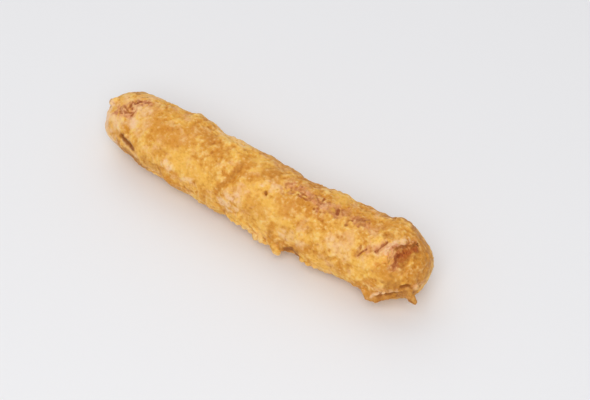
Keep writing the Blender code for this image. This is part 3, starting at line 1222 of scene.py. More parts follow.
@dataclass(frozen=True)
class UnseenPatches:
    """Patches strewn over the far side and the underside, to make them as uneven as the rest."""

    count: int = 16
    tones: tuple[Tone, ...] = (Tone.DEEP, Tone.PALE, Tone.PINK, Tone.THIN, Tone.DEEP)
    angles: tuple[float, float] = (-150.0, 35.0)
    runs_mm: tuple[float, float] = (2.0, 12.0)
    turns: tuple[float, float] = (-20.0, 20.0)
    reaches_mm: tuple[float, float] = (2.0, 4.5)
    strengths: tuple[float, float] = (0.4, 0.8)

    def made(self, spine: Spine, chance: random.Random) -> tuple[Patch, ...]:
        """The patches.

        Args:
            spine: the middle line of the sausage.
            chance: the source of their unevenness.

        Returns:
            The patches, with the tones in turn.
        """
        found = []
        for number in range(self.count):
            near = Place(
                chance.uniform(spine.first, spine.last), chance.uniform(*self.angles) % 360.0
            )
            run = chance.uniform(*self.runs_mm) * MM
            far = Place(near.station + run, near.angle + chance.uniform(*self.turns))
            reach = chance.uniform(*self.reaches_mm) * MM
            tone = self.tones[number % len(self.tones)]
            found.append(Patch(tone, (near, far), reach, chance.uniform(*self.strengths)))
        return tuple(found)


@dataclass(frozen=True)
class Wear:
    """How strongly the coat wears each tone, place by place.

    A patch is whole within half its reach or so and fades out past it, with an edge that is made
    ragged by a fine grain.
    """

    body: Body
    patches: tuple[Patch, ...]
    grain: float = 2.4 * MM
    raggedness: float = 1.6
    outer_edge: float = 1.25
    edge_width: float = 0.75

    def share(self, tone: Tone, points: np.ndarray, out: np.ndarray) -> np.ndarray:
        """How strongly points wear a tone.

        Args:
            tone: the tone.
            points: the points, one to a row.
            out: the outward direction at each of them.

        Returns:
            A share from 0 to 1 for each point.
        """
        worn = np.zeros(len(points))
        uneven = np.array([noise.noise(place) for place in (points / self.grain).tolist()])
        for patch in self.patches:
            if patch.tone is not tone:
                continue
            distance = line_on(self.body, patch.line).nearest(points, out)[0]
            away = distance / patch.reach + patch.ragged * uneven * self.raggedness
            whole = smoothstep((self.outer_edge - away) / self.edge_width)
            worn = np.maximum(worn, patch.strength * whole)
        return worn


@dataclass(frozen=True)
class Creases:
    """The folds of the coat, and the fine cracks where it is thin."""

    wear: Wear
    gap: float = 0.0026
    depth: float = 0.00040
    crack_share: float = 0.5
    bare_share: float = 0.8
    thinnest: float = 0.05
    stretch: tuple[float, float, float] = (1.0, 0.5, 0.5)
    stray: Relief = Relief(2.4 * MM, 0.9 * MM, 9.9)
    width: float = 0.34
    width_relief: Relief = Relief(2.0 * MM, 0.26, 15.2)
    least_width: float = 0.02

    def share(self, points: np.ndarray, out: np.ndarray) -> np.ndarray:
        """How much of a crease's depth each point has.

        Args:
            points: the points, one to a row.
            out: the outward direction at each of them.

        Returns:
            A share from 0 to 1 for each point.
        """
        bare = self.wear.share(Tone.BARE, points, out)
        thin = np.maximum(self.wear.share(Tone.THIN, points, out), self.bare_share * bare)
        cracks = np.zeros(len(points))
        near = np.nonzero(thin > self.thinnest)[0]
        bent = strayed(points[near], self.stray) * self.stretch
        rise = np.array([noise.noise(place) for place in (bent / self.gap).tolist()])
        width = self.width + self.width_relief.depth * waves(points[near], self.width_relief)
        across = np.abs(rise) / np.maximum(width, self.least_width)
        cracks[near] = thin[near] * smoothstep(1.0 - across)
        return np.maximum(cracks * self.crack_share, self.wear.share(Tone.FOLD, points, out))


@dataclass(frozen=True)
class Bubbles:
    """Small blisters all over the skin, some of them burst. Heights are shares of the radius."""

    count: int = 360
    radii: tuple[float, float] = (0.0005, 0.0013)
    burst_share: float = 0.2
    skirt: float = 1.3
    dome: float = 0.17
    pit: float = 0.30
    pit_width: float = 0.45

    def heights(self, points: np.ndarray, chance: random.Random) -> np.ndarray:
        """What the blisters add to the height of points.

        Args:
            points: the points of the skin, one to a row.
            chance: the source of where they are.

        Returns:
            One height for each point.
        """
        tree = kdtree.KDTree(len(points))
        for index, point in enumerate(points.tolist()):
            tree.insert(point, index)
        tree.balance()
        height = np.zeros(len(points))
        for _ in range(self.count):
            middle = points[chance.randrange(len(points))]
            radius = chance.uniform(*self.radii)
            burst = chance.random() < self.burst_share
            for _, index, distance in tree.find_range(middle.tolist(), radius * self.skirt):
                share = distance / radius
                dome = math.sqrt(max(0.0, 1.0 - share * share))
                pit = math.exp(-((share / self.pit_width) ** 2))
                height[index] += radius * (self.dome * dome - (self.pit * pit if burst else 0.0))
        return height


# ---------------------------------------------------------------------------------------------
# The coat
# ---------------------------------------------------------------------------------------------


def vertices_of(mesh: bpy.types.Mesh, what: str = "co") -> np.ndarray:
    """The mesh's points, or its normals.

    Args:
        mesh: the mesh.
        what: "co" for the points or "normal" for the normals.

    Returns:
        One row of three for each vertex.
    """
    found = np.empty(len(mesh.vertices) * 3, np.float32)
    if what == "co":
        mesh.vertices.foreach_get("co", found)
    else:
        mesh.vertex_normals.foreach_get("vector", found)
    return found.reshape(-1, 3).astype(float)


def set_vertices(mesh: bpy.types.Mesh, points: np.ndarray) -> None:
    """Moves the mesh's vertices to the points."""
    mesh.vertices.foreach_set("co", points.astype(np.float32).ravel())
    mesh.update()


@dataclass
class BatterCoat:
    """The fried coat with all that is torn, dripped and folded in it, as one closed mesh."""

    spine: Spine
    solid: bpy.types.Object
    seed: int = 11
    noise_seed: int = 2
    fuse_voxel: float = 0.00046
    soften_passes: int = 4
    triangles: int = 152_000
    fine_reach: float = 0.0030
    fine_share: float = 0.3
    swells: Relief = Relief(0.0130, 0.00022, 3.1)
    pillows: Relief = Relief(0.0060, 0.00022, 7.7)
    curds: Relief = Relief(0.0032, 0.00007, 12.4)
    wrinkles: Relief = Relief(0.0015, 0.00005, 21.9)
    torn_lumps: Relief = Relief(0.0019, 0.00022, 28.6)
    rough_places: Relief = Relief(0.0150, 0.30, 31.7)
    roughness_range: tuple[float, float] = (0.4, 1.5)
    smoothness: float = 0.75
    shape_strays: tuple[Relief, ...] = (
        Relief(3.2 * MM, 1.1 * MM, 1.3), Relief(1.2 * MM, 0.35 * MM, 4.9),
    )
    cut_stray: Relief = Relief(1.8 * MM, 0.34 * MM, 5.3)
    fine_passes: int = 4
    broad_passes: int = 45
    body: Body = field(init=False)
    wear: Wear = field(init=False)
    creases: Creases = field(init=False)

    def __post_init__(self) -> None:
        """Draws the body over the solid, and works out where it wears which tone.

        Blender starts its noise from the clock unless it is given a seed.
        """
        noise.seed_set(self.noise_seed)
        self.body = Body(self.spine, self.solid)
        unseen = UnseenPatches().made(self.spine, random.Random(self.seed + 1))
        self.wear = Wear(self.body, PATCHES + unseen)
        self.creases = Creases(self.wear)

    def build(self) -> bpy.types.Object:
        """Builds the coat and dresses it.

        Returns:
            The finished piece.
        """
        self.shape_body()
        piece = self.fused()
        self.add_relief(piece.data)
        self.add_bubbles(piece.data)
        self.thin_out(piece)
        mesh = piece.data
        self.refine(mesh)
        self.cut(mesh)
        self.rest_on_floor(mesh)
        self.note_tones(mesh)
        mesh.shade_smooth()
        mesh.materials.append(BatterFinish().material())
        return piece

    def shape_body(self) -> None:
        """Gives the body its lumps, its folds and the torn edge of its hood."""
        grid = self.body.points.shape
        points = self.body.points.reshape(-1, 3)
        out = self.body.out.reshape(-1, 3)
        calm = self.calm(points, out)
        height = self.swells.depth * waves(points, self.swells)
        height += self.pillows.depth * calm * soft_billows(points, self.pillows)
        ragged = points
        for stray in self.shape_strays:
            ragged = strayed(ragged, stray)
        shift = np.zeros_like(points)
        for shaping in SHAPINGS:
            height += shaping.height(self.body, ragged, out)
            if isinstance(shaping, Brim):
                shift += shaping.shift(self.body, ragged, out)
        self.body.points = (points + shift + out * height[:, None]).reshape(grid)

    def calm(self, points: np.ndarray, out: np.ndarray) -> np.ndarray:
        """How much of its relief each point keeps: it's smooth here and rough there.

        Args:
            points: the points, one to a row.
            out: the outward direction at each of them.

        Returns:
            A factor for each point.
        """
        size, depth, shift = self.rough_places
        uneven = np.array([noise.noise(place) for place in (points / size + shift).tolist()])
        kept = (1.0 + depth * levelled(uneven)).clip(*self.roughness_range)
        return kept * (1.0 - self.smoothness * self.wear.share(Tone.SMOOTH, points, out))

    def fused(self) -> bpy.types.Object:
        """Grows the body and all the balls of batter together into one skin.

        Returns:
            The skin.
        """
        balls: list[Ball] = []
        for number, part in enumerate((HoodEdge(), Flap(), Tail(), Fringe())):
            made = part.balls(self.body, random.Random(self.seed + number))
            LOG.info("%s: %d balls of batter", type(part).__name__, len(made))
            balls += made
        joined = bmesh.new()
        for mesh in (self.body.mesh("body"), ball_mesh("balls", balls)):
            joined.from_mesh(mesh)
            bpy.data.meshes.remove(mesh)
        rough = bpy.data.meshes.new("rough_coat")
        joined.to_mesh(rough)
        joined.free()
        piece = bpy.data.objects.new("batter_coat", rough)
        bpy.context.scene.collection.objects.link(piece)
        fuse = piece.modifiers.new("Fuse", "REMESH")
        fuse.mode = "VOXEL"
        fuse.voxel_size = self.fuse_voxel
        soften = piece.modifiers.new("Soften", "SMOOTH")
        soften.iterations = self.soften_passes
        self.apply(piece)
        self.drop_loose(piece.data)
        return piece

    def drop_loose(self, mesh: bpy.types.Mesh) -> None:
        """Takes away any crumb that ended up clear of the coat.

        Args:
            mesh: the mesh of the coat and its crumbs.
        """
        shape = bmesh.new()
        shape.from_mesh(mesh)
        left = set(shape.verts)
        coat: set[bmesh.types.BMVert] = set()
        while left:
            grown = [left.pop()]
            found = set(grown)
            while grown:
                vertex = grown.pop()
                beside = {edge.other_vert(vertex) for edge in vertex.link_edges} & left
                left -= beside
                found |= beside
                grown += beside
            coat = max(coat, found, key=len)
        loose = [vertex for vertex in shape.verts if vertex not in coat]
        bmesh.ops.delete(shape, geom=loose, context="VERTS")
        shape.to_mesh(mesh)
        shape.free()

    def thin_out(self, piece: bpy.types.Object) -> None:
        """Takes away the triangles that show least.

        Args:
            piece: the coat.
        """
        thin = piece.modifiers.new("Thin", "DECIMATE")
        thin.ratio = self.triangles / (2 * len(piece.data.polygons))
        self.apply(piece)

    def refine(self, mesh: bpy.types.Mesh) -> None:
        """Gives the mesh more triangles where its small features are.

        Args:
            mesh: the coat's mesh.
        """
        points = vertices_of(mesh)
        out = self.spine.outward(points)
        lines = [line_on(self.body, line) for line in FINE_LINES]
        near = np.min([line.nearest(points, out)[0] for line in lines], axis=0) < self.fine_reach
        for tone in (Tone.THIN, Tone.BARE, Tone.FOLD):
            near |= self.wear.share(tone, points, out) > self.fine_share
        shape = bmesh.new()
        shape.from_mesh(mesh)
        edges = [edge for edge in shape.edges if all(near[end.index] for end in edge.verts)]
        bmesh.ops.subdivide_edges(shape, edges=edges, cuts=1, use_grid_fill=True)
        bmesh.ops.triangulate(shape, faces=[face for face in shape.faces if len(face.verts) > 4])
        shape.to_mesh(mesh)
        shape.free()

    def apply(self, piece: bpy.types.Object) -> None:
        """Turns a piece's modifiers into its mesh.

        Args:
            piece: the piece.
        """
        before = piece.data
        bpy.context.view_layer.update()
        seen = piece.evaluated_get(bpy.context.evaluated_depsgraph_get())
        piece.data = bpy.data.meshes.new_from_object(seen)
        piece.modifiers.clear()
        bpy.data.meshes.remove(before)
        piece.data.name = piece.name

    def add_relief(self, mesh: bpy.types.Mesh) -> None:
        """Gives the skin its curds and wrinkles, less where it is smooth.

        Args:
            mesh: the coat's mesh.
        """
        points = vertices_of(mesh)
        normals = vertices_of(mesh, "normal")
        out = self.spine.outward(points)
        height = self.curds.depth * soft_billows(points, self.curds)
        height += self.wrinkles.depth * waves(points, self.wrinkles)
        height *= self.calm(points, out)
        torn = self.wear.share(Tone.BARE, points, out)
        height += self.torn_lumps.depth * torn * soft_billows(points, self.torn_lumps)
        set_vertices(mesh, points + normals * height[:, None])

    def add_bubbles(self, mesh: bpy.types.Mesh) -> None:
        """Raises small blisters all over the skin.

        Args:
            mesh: the coat's mesh.
        """
        points = vertices_of(mesh)
        height = Bubbles().heights(points, random.Random(self.seed))
        set_vertices(mesh, points + vertices_of(mesh, "normal") * height[:, None])

    def cut(self, mesh: bpy.types.Mesh) -> None:
        """Cuts the slit, the pit and the creases, which are sharper than the rest.

        Args:
            mesh: the coat's mesh.
        """
        points = vertices_of(mesh)
        out = self.spine.outward(points)
        ragged = strayed(points, self.cut_stray)
        height = sum(cut.height(self.body, ragged, out) for cut in CUTS)
        height -= self.creases.depth * self.creases.share(points, out)
        set_vertices(mesh, points + out * height[:, None])

    def rest_on_floor(self, mesh: bpy.types.Mesh) -> None:
        """Presses what would hang below the floor flat onto it.

        Args:
            mesh: the coat's mesh.
        """
        points = vertices_of(mesh)
        points[:, 2] = np.maximum(points[:, 2], self.spine.low.z)
        set_vertices(mesh, points)

    def note_tones(self, mesh: bpy.types.Mesh) -> None:
        """Writes the tones and the lie of the surface to the mesh, where its finish reads them.

        Args:
            mesh: the coat's mesh.
        """
        points = vertices_of(mesh)
        normals = vertices_of(mesh, "normal")
        out = self.spine.outward(points)
        for tone in PAINTED:
            self.note(mesh, tone.value, self.wear.share(tone, points, out))
        self.note(mesh, CREASE, self.creases.share(points, out))
        ends = np.empty(len(mesh.edges) * 2, np.int32)
        mesh.edges.foreach_get("vertices", ends)
        ends = ends.reshape(-1, 2)
        fine = self.evened(points, ends, self.fine_passes)
        broad = self.evened(fine, ends, self.broad_passes)
        self.note(mesh, CREST, self.stands_out(points - fine, normals))
        self.note(mesh, SWELL, self.stands_out(fine - broad, normals))

    def evened(self, points: np.ndarray, ends: np.ndarray, passes: int) -> np.ndarray:
        """The points drawn towards the mean of their neighbours, pass after pass.

        Args:
            points: the points, one to a row.
            ends: the two ends of each edge between them.
            passes: how many times they are drawn.

        Returns:
            The even points.
        """
        count = np.bincount(ends.ravel(), minlength=len(points))[:, None]
        for _ in range(passes):
            beside = np.stack(
                [
                    np.bincount(ends[:, 0], points[ends[:, 1], axis], len(points))
                    + np.bincount(ends[:, 1], points[ends[:, 0], axis], len(points))
                    for axis in range(3)
                ],
                axis=-1,
            )
            points = points / 2 + beside / count / 2
        return points

    def stands_out(self, away: np.ndarray, normals: np.ndarray) -> np.ndarray:
        """How far each point stands out of its surroundings, mostly from -1 to 1."""
        height = np.einsum("ij,ij->i", away, normals)
        return np.clip(height / (2.0 * height.std()), -MOST_PROUD, MOST_PROUD)

    def note(self, mesh: bpy.types.Mesh, name: str, values: np.ndarray) -> None:
        """Writes one number for each vertex under a name."""
        kept = mesh.attributes.new(name, "FLOAT", "POINT")
        kept.data.foreach_set("value", values.astype(np.float32))


# ---------------------------------------------------------------------------------------------
# The finish
# ---------------------------------------------------------------------------------------------

Colour = tuple[float, float, float, float]
Operand = Union["Maths", float, int]
MEAN_LEVEL = 0.5


def shade(red: int, green: int, blue: int) -> Colour:
    """The colour of three numbers from 0 to 255 as the eye orders them, made linear.

    Args:
        red: how red it is.
        green: how green it is.
        blue: how blue it is.

    Returns:
        The colour, with nothing see-through.
    """
    return tuple(
        part / 255 / 12.92 if part <= 10 else ((part / 255 + 0.055) / 1.055) ** 2.4
        for part in (red, green, blue)
    ) + (1.0,)


class Maths:
    """A number in a node tree. Arithmetic on it adds the nodes that work it out."""

    def __init__(self, finish: "NodeFinish", socket: bpy.types.NodeSocket) -> None:
        """Wraps a socket of the finish's tree."""
        self.finish = finish
        self.socket = socket

    def worked(self, operation: str, *others: Operand, clamp: bool = False) -> "Maths":
        """The result of a Math node on this number and the others.

        Args:
            operation: what the node does.
            others: its other numbers.
            clamp: whether the result is held between 0 and 1.

        Returns:
            The result.
        """
        settings = {"operation": operation, "use_clamp": clamp}
        inputs = {index: value for index, value in enumerate((self, *others))}
        return Maths(self.finish, self.finish.node("ShaderNodeMath", settings, inputs).outputs[0])

    def __add__(self, other: Operand) -> "Maths":
        """The sum."""
        return self.worked("ADD", other)

    __radd__ = __add__

    def __sub__(self, other: Operand) -> "Maths":
        """The difference."""
        return self.worked("SUBTRACT", other)

    def __rsub__(self, other: Operand) -> "Maths":
        """The difference, with this number taken away."""
        return (self * -1.0) + other

    def __mul__(self, other: Operand) -> "Maths":
        """The product."""
        return self.worked("MULTIPLY", other)

    __rmul__ = __mul__

    def held(self) -> "Maths":
        """This number, held between 0 and 1."""
        return self.worked("ADD", 0.0, clamp=True)

    def rise(self, low: float, high: float) -> "Maths":
        """An even rise from 0 to 1 with this number.

        Args:
            low: where it starts, which may be the higher one.
            high: where it ends.

        Returns:
            The rise, held outside its ends.
        """
        settings = {"interpolation_type": "SMOOTHSTEP"}
        inputs = {"Value": self, "From Min": low, "From Max": high}
        risen = self.finish.node("ShaderNodeMapRange", settings, inputs)
        return Maths(self.finish, risen.outputs[0])


class Mottle(NamedTuple):
    """Even noise in a finish: the size of its spots in metres, its detail, roughness and warp."""

    size: float
    detail: float
    roughness: float
    warp: float = 0.0


class Spots(NamedTuple):
    """A colour that shows in spots: where a mottle rises from low to high, and how strongly."""

    colour: Colour
    low: float
    high: float
    strength: float

    def share(self, mottle: Maths, worn: Maths | None = None) -> Maths:
        """How much of the colour shows.

        Args:
            mottle: the mottle.
            worn: how strongly the place wears the tone of this colour, if it is a tone's.

        Returns:
            A share for the mixing of colours.
        """
        spots = mottle.rise(self.low, self.high)
        return (spots if worn is None else worn * spots) * self.strength


class Film(NamedTuple):
    """A colour that lies all over a tone's place: its least share, and what a mottle adds."""

    colour: Colour
    least: float
    gain: float

    def share(self, mottle: Maths, worn: Maths) -> Maths:
        """How much of the colour shows, which is more where the mottle is high."""
        return worn * (self.least + mottle * self.gain)


class NodeFinish:
    """A material whose nodes are written as expressions."""

    def __init__(self, name: str) -> None:
        """Starts the material with its shader.

        Args:
            name: the material's name.
        """
        self.made = bpy.data.materials.new(name)
        self.made.use_nodes = True
        self.tree = self.made.node_tree
        self.shader = self.tree.nodes["Principled BSDF"]
        self.place = self.node("ShaderNodeTexCoord").outputs["Object"]

    def node(
        self,
        kind: str,
        settings: dict[str, object] | None = None,
        inputs: dict[str | int, object] | None = None,
    ) -> bpy.types.Node:
        """Adds a node.

        Args:
            kind: the node's type.
            settings: its own settings, set first. "stops" are a ramp's positions and colours.
            inputs: a value, a Maths or a socket to link for each of its sockets.

        Returns:
            The node.
        """
        made = self.tree.nodes.new(kind)
        for name, value in (settings or {}).items():
            if name == "stops":
                self.set_stops(made, value)
            else:
                setattr(made, name, value)
        for name, value in (inputs or {}).items():
            self.feed(made.inputs[name], value)
        return made

    def set_stops(self, ramp: bpy.types.Node, stops: Sequence[tuple[float, Colour]]) -> None:
        """Gives a ramp its stops.

        Args:
            ramp: the ramp's node.
            stops: a position and a colour for each.
        """
        elements = ramp.color_ramp.elements
        elements.remove(elements[1])
        elements[0].position, elements[0].color = stops[0]
        for position, colour in stops[1:]:
            elements.new(position).color = colour

    def feed(self, socket: bpy.types.NodeSocket, value: object) -> None:
        """Sets or links a socket.

        Args:
            socket: the socket.
            value: what it is set to, or the Maths or other socket that is linked to it.
        """
        if isinstance(value, Maths):
            value = value.socket
        if isinstance(value, bpy.types.NodeSocket):
            self.tree.links.new(value, socket)
        else:
            socket.default_value = value

    def noted(self, name: str) -> Maths:
        """A number that the mesh holds for each vertex."""
        settings = {"attribute_name": name}
        return Maths(self, self.node("ShaderNodeAttribute", settings).outputs["Fac"])

    def mottle(self, kind: Mottle) -> Maths:
        """The level of a mottle.

        Args:
            kind: its sizes.

        Returns:
            The level, mostly from 0.2 to 0.8.
        """
        inputs = {
            "Vector": self.place,
            "Scale": 1.0 / kind.size,
            "Detail": kind.detail,
            "Roughness": kind.roughness,
            "Distortion": kind.warp,
        }
        return Maths(self, self.node("ShaderNodeTexNoise", {}, inputs).outputs["Fac"])

    def mixed(
        self,
        first: Colour | bpy.types.NodeSocket,
        second: Colour | bpy.types.NodeSocket,
        share: Operand,
        blend: str = "MIX",
    ) -> bpy.types.NodeSocket:
        """Two colours mixed.

        Args:
            first: the colour at a share of 0.
            second: the colour at a share of 1.
            share: how much of the second.
            blend: the way of mixing.

        Returns:
            The mixed colour.
        """
        settings = {"data_type": "RGBA", "blend_type": blend}
        return self.node("ShaderNodeMix", settings, {0: share, 6: first, 7: second}).outputs[2]

    def tinted(self, colour: bpy.types.NodeSocket, tint: Colour) -> bpy.types.NodeSocket:
        """The colour as it looks with a tint laid over it."""
        settings = {"operation": "MULTIPLY"}
        return self.node("ShaderNodeVectorMath", settings, {0: colour, 1: tint[:3]}).outputs[0]

    def ramp(self, level: Maths, stops: Sequence[tuple[float, Colour]]) -> bpy.types.NodeSocket:
        """The colour that a ramp gives at a level."""
        return self.node("ShaderNodeValToRGB", {"stops": stops}, {0: level}).outputs["Color"]


PINK = shade(237, 182, 124)
DEEP_GOLD = shade(212, 138, 34)


@dataclass(frozen=True)
class BatterFinish:
    """Deep-fried batter: golden and a little oily, with painted highlights on its crests and
    swells, painted shade in its hollows and dips, and browner creases that also carry painted
    shade.
    """

    # From the deepest brown to the palest gold.
    stops: tuple[tuple[float, Colour], ...] = (
        (0.08, shade(164, 94, 28)), (0.28, shade(197, 129, 44)), (0.45, shade(219, 153, 56)),
        (0.60, shade(235, 175, 74)), (0.76, shade(243, 193, 95)), (0.95, shade(249, 209, 134)),
    )
    crumb: Mottle = Mottle(0.5 * MM, 2.0, 0.6)
    grain: Mottle = Mottle(1.5 * MM, 3.0, 0.7)
    curd: Mottle = Mottle(3.4 * MM, 3.0, 0.55, 0.4)
    bleach: Mottle = Mottle(7.0 * MM, 3.0, 0.55, 0.3)
    blotch: Mottle = Mottle(9.0 * MM, 2.0, 0.5)
    # How far along the ramp a place is, and what moves it.
    ground: float = 0.53
    # Swells move up the ramp and dips down it: painted light on the swells and painted shade in the
    # dips.
    swell_light_and_shade: float = 0.13
    ground_blotch: float = 0.62
    ground_pale: float = 0.15
    ground_deep: float = 0.10
    # The colours that the whole coat wears here and there.
    pink_spots: Spots = Spots(PINK, 0.48, 0.72, 0.7)
    gold_spots: Spots = Spots(DEEP_GOLD, 0.50, 0.28, 0.75)
    # The colours of the tones, in the order in which they are laid on.
    bright: Film = Film(shade(246, 190, 84), 0.4, 0.8)
    deep: Film = Film(DEEP_GOLD, 0.50, 0.6)
    pink: Spots = Spots(PINK, 0.30, 0.62, 0.8)
    pale: Spots = Spots(shade(245, 205, 166), 0.25, 0.60, 0.78)
    thin: Spots = Spots(shade(218, 144, 92), 0.28, 0.58, 0.85)
    toasted: Film = Film(shade(184, 120, 42), 0.55, 0.4)
    bare: Film = Film(shade(178, 88, 22), 0.62, 0.36)
    # Where the toasted, bare and cracked places are rough, by the sum of curd and grain.
    rough_rise: tuple[float, float] = (1.15, 0.85)
    # The fine crust: how its height is made up, the painted shade of its hollows and the painted
    # highlight on its crests.
    fine_crest: float = 0.14
    fine_curd: float = 0.46
    fine_grain: float = 0.85
    fine_smoothing: float = 0.2
    hollow_shade: Spots = Spots((0.74, 0.56, 0.30, 1.0), 0.02, -0.30, 0.85)
    crest_highlight: Spots = Spots(shade(252, 218, 148), 0.0, 0.30, 0.5)
    crest_highlight_toasted: float = 0.4
    crest_highlight_bare: float = 0.2
    crest_highlight_smooth: float = 0.1
    # The creases and cracks, browner than the coat and partly painted shade, and the painted shade
    # in the slit, the pit, the nick and under the overhangs.
    crease_brown_and_shade: Film = Film(shade(152, 76, 26), 0.62, 0.36)
    painted_shade_colour: Colour = shade(150, 84, 10)
    painted_shade_strength: float = 0.95
    # The surface.
    roughness: float = 0.56
    roughness_crest: float = 0.05
    roughness_smooth: float = 0.10
    roughness_grain: float = 0.25
    oil_rise: tuple[float, float] = (0.45, 0.65)
    oil: float = 0.12
    oil_smooth: float = 0.1
    oil_roughness: float = 0.32
    inner_glow: float = 0.12
    inner_glow_radius: tuple[float, float, float] = (1.0, 0.45, 0.16)
    inner_glow_scale: float = 1.2 * MM
    specular: float = 0.28
    # The finest bumps, which are too small for the mesh.
    bump_crumb: float = 0.7
    bump_curd: float = 0.5
    bump_smoothing: float = 0.4
    bump_strength: float = 0.7
    bump_distance: float = 0.22 * MM

    def material(self) -> bpy.types.Material:
        """Makes the finish.

        Returns:
            The finished material.
        """
        finish = NodeFinish("fried_batter")
        grain, curd = finish.mottle(self.grain), finish.mottle(self.curd)
        worn = {tone: finish.noted(tone.value) for tone in PAINTED}
        crest, crease = finish.noted(CREST), finish.noted(CREASE)
        smooth, painted_shade = worn[Tone.SMOOTH], worn[Tone.DARK]
        rough = (curd + grain).rise(*self.rough_rise)
        colour = self.toned(finish, worn, curd, rough)
        # Painted shade in the fine crust's hollows and a painted highlight on its crests.
        colour = self.shaded_and_highlit(finish, colour, worn, self.fine(crest, curd, grain, smooth))
        # The creases: browner than the coat, and partly painted shade.
        colour = finish.mixed(colour, self.crease_brown_and_shade.colour, self.crease_brown_and_shade.share(rough, crease))
        # Painted shade in the slit, the pit, the nick and under the overhangs.
        colour = finish.mixed(colour, self.painted_shade_colour, painted_shade * self.painted_shade_strength)
        roughness = self.roughness - crest * self.roughness_crest - smooth * self.roughness_smooth
        roughness += (grain - MEAN_LEVEL) * self.roughness_grain
        gloss = curd.rise(*self.oil_rise) * self.oil + smooth * self.oil_smooth
        for socket, value in (
            ("Base Color", colour),
            ("Roughness", roughness.held()),
            ("Coat Weight", (gloss - painted_shade - crease).held()),
            ("Coat Roughness", self.oil_roughness),
            ("Subsurface Weight", self.inner_glow),
            ("Subsurface Radius", self.inner_glow_radius),
            ("Subsurface Scale", self.inner_glow_scale),
            ("Specular IOR Level", self.specular),
            ("Normal", self.bumps(finish, grain, curd, smooth)),
        ):
            finish.feed(finish.shader.inputs[socket], value)
        return finish.made

    def toned(
        self, finish: NodeFinish, worn: dict[Tone, Maths], curd: Maths, rough: Maths
    ) -> bpy.types.NodeSocket:
        """The colours of the ground and of the tones that are laid over it.

        Args:
            finish: the material that they are for.
            worn: how strongly each tone is worn.
            curd: the middle mottle.
            rough: where the toasted and bare places are rough.

        Returns:
            The colour.
        """
        blotch, bleach = finish.mottle(self.blotch), finish.mottle(self.bleach)
        # Painted light on the swells and painted shade in the dips.
        level = self.ground + finish.noted(SWELL) * self.swell_light_and_shade
        level += (blotch - MEAN_LEVEL) * self.ground_blotch
        level += worn[Tone.PALE] * self.ground_pale - worn[Tone.DEEP] * self.ground_deep
        colour = finish.ramp(level.held(), self.stops)
        for spots in (self.pink_spots, self.gold_spots):
            colour = finish.mixed(colour, spots.colour, spots.share(bleach))
        for tone, layer, mottle in (
            (Tone.BRIGHT, self.bright, blotch),
            (Tone.DEEP, self.deep, blotch),
            (Tone.PINK, self.pink, curd),
            (Tone.PALE, self.pale, curd),
            (Tone.THIN, self.thin, curd),
            (Tone.TOASTED, self.toasted, rough),
            (Tone.BARE, self.bare, rough),
        ):
            colour = finish.mixed(colour, layer.colour, layer.share(mottle, worn[tone]))
        return colour

    def fine(self, crest: Maths, curd: Maths, grain: Maths, smooth: Maths) -> Maths:
        """The height of the fine crust.

        Args:
            crest: how far the surface stands out.
            curd: the middle mottle.
            grain: the fine mottle.
            smooth: where the coat is smooth.

        Returns:
            The height, below 0 in its hollows.
        """
        height = crest * self.fine_crest
        for mottle, weight in ((curd, self.fine_curd), (grain, self.fine_grain)):
            height += (mottle - MEAN_LEVEL) * (weight - smooth * self.fine_smoothing)
        return height

    def shaded_and_highlit(
        self,
        finish: NodeFinish,
        colour: bpy.types.NodeSocket,
        worn: dict[Tone, Maths],
        fine: Maths,
    ) -> bpy.types.NodeSocket:
        """A colour with painted shade in the hollows of the fine crust and a painted highlight on
        its crests.

        Args:
            finish: the material that it is for.
            colour: the colour.
            worn: how strongly each tone is worn.
            fine: the height of the fine crust.

        Returns:
            The new colour.
        """
        hollow_shaded = finish.tinted(colour, self.hollow_shade.colour)
        colour = finish.mixed(colour, hollow_shaded, self.hollow_shade.share(fine))
        strength = self.crest_highlight.strength - worn[Tone.TOASTED] * self.crest_highlight_toasted
        strength -= worn[Tone.BARE] * self.crest_highlight_bare
        strength -= worn[Tone.SMOOTH] * self.crest_highlight_smooth
        share = fine.rise(self.crest_highlight.low, self.crest_highlight.high) * strength
        return finish.mixed(colour, self.crest_highlight.colour, share)

    def bumps(
        self, finish: NodeFinish, grain: Maths, curd: Maths, smooth: Maths
    ) -> bpy.types.NodeSocket:
        """The finest bumps.

        Args:
            finish: the material that they are for.
            grain: the fine mottle.
            curd: the middle mottle.
            smooth: where the coat is smooth.

        Returns:
            The bent normal.
        """
        height = finish.mottle(self.crumb) * self.bump_crumb + grain + curd * self.bump_curd
        inputs = {
            "Height": height * (1.0 - smooth * self.bump_smoothing),
            "Strength": self.bump_strength,
            "Distance": self.bump_distance,
        }
        return finish.node("ShaderNodeBump", {}, inputs).outputs["Normal"]


# ---------------------------------------------------------------------------------------------
# The studio
# ---------------------------------------------------------------------------------------------


@dataclass(frozen=True)
class Lamp:
    """A soft square lamp that looks at the sausage."""

    name: str
    azimuth: float
    elevation: float
    distance: float
    size: float
    power: float
    colour: tuple[float, float, float] = (1.0, 1.0, 1.0)


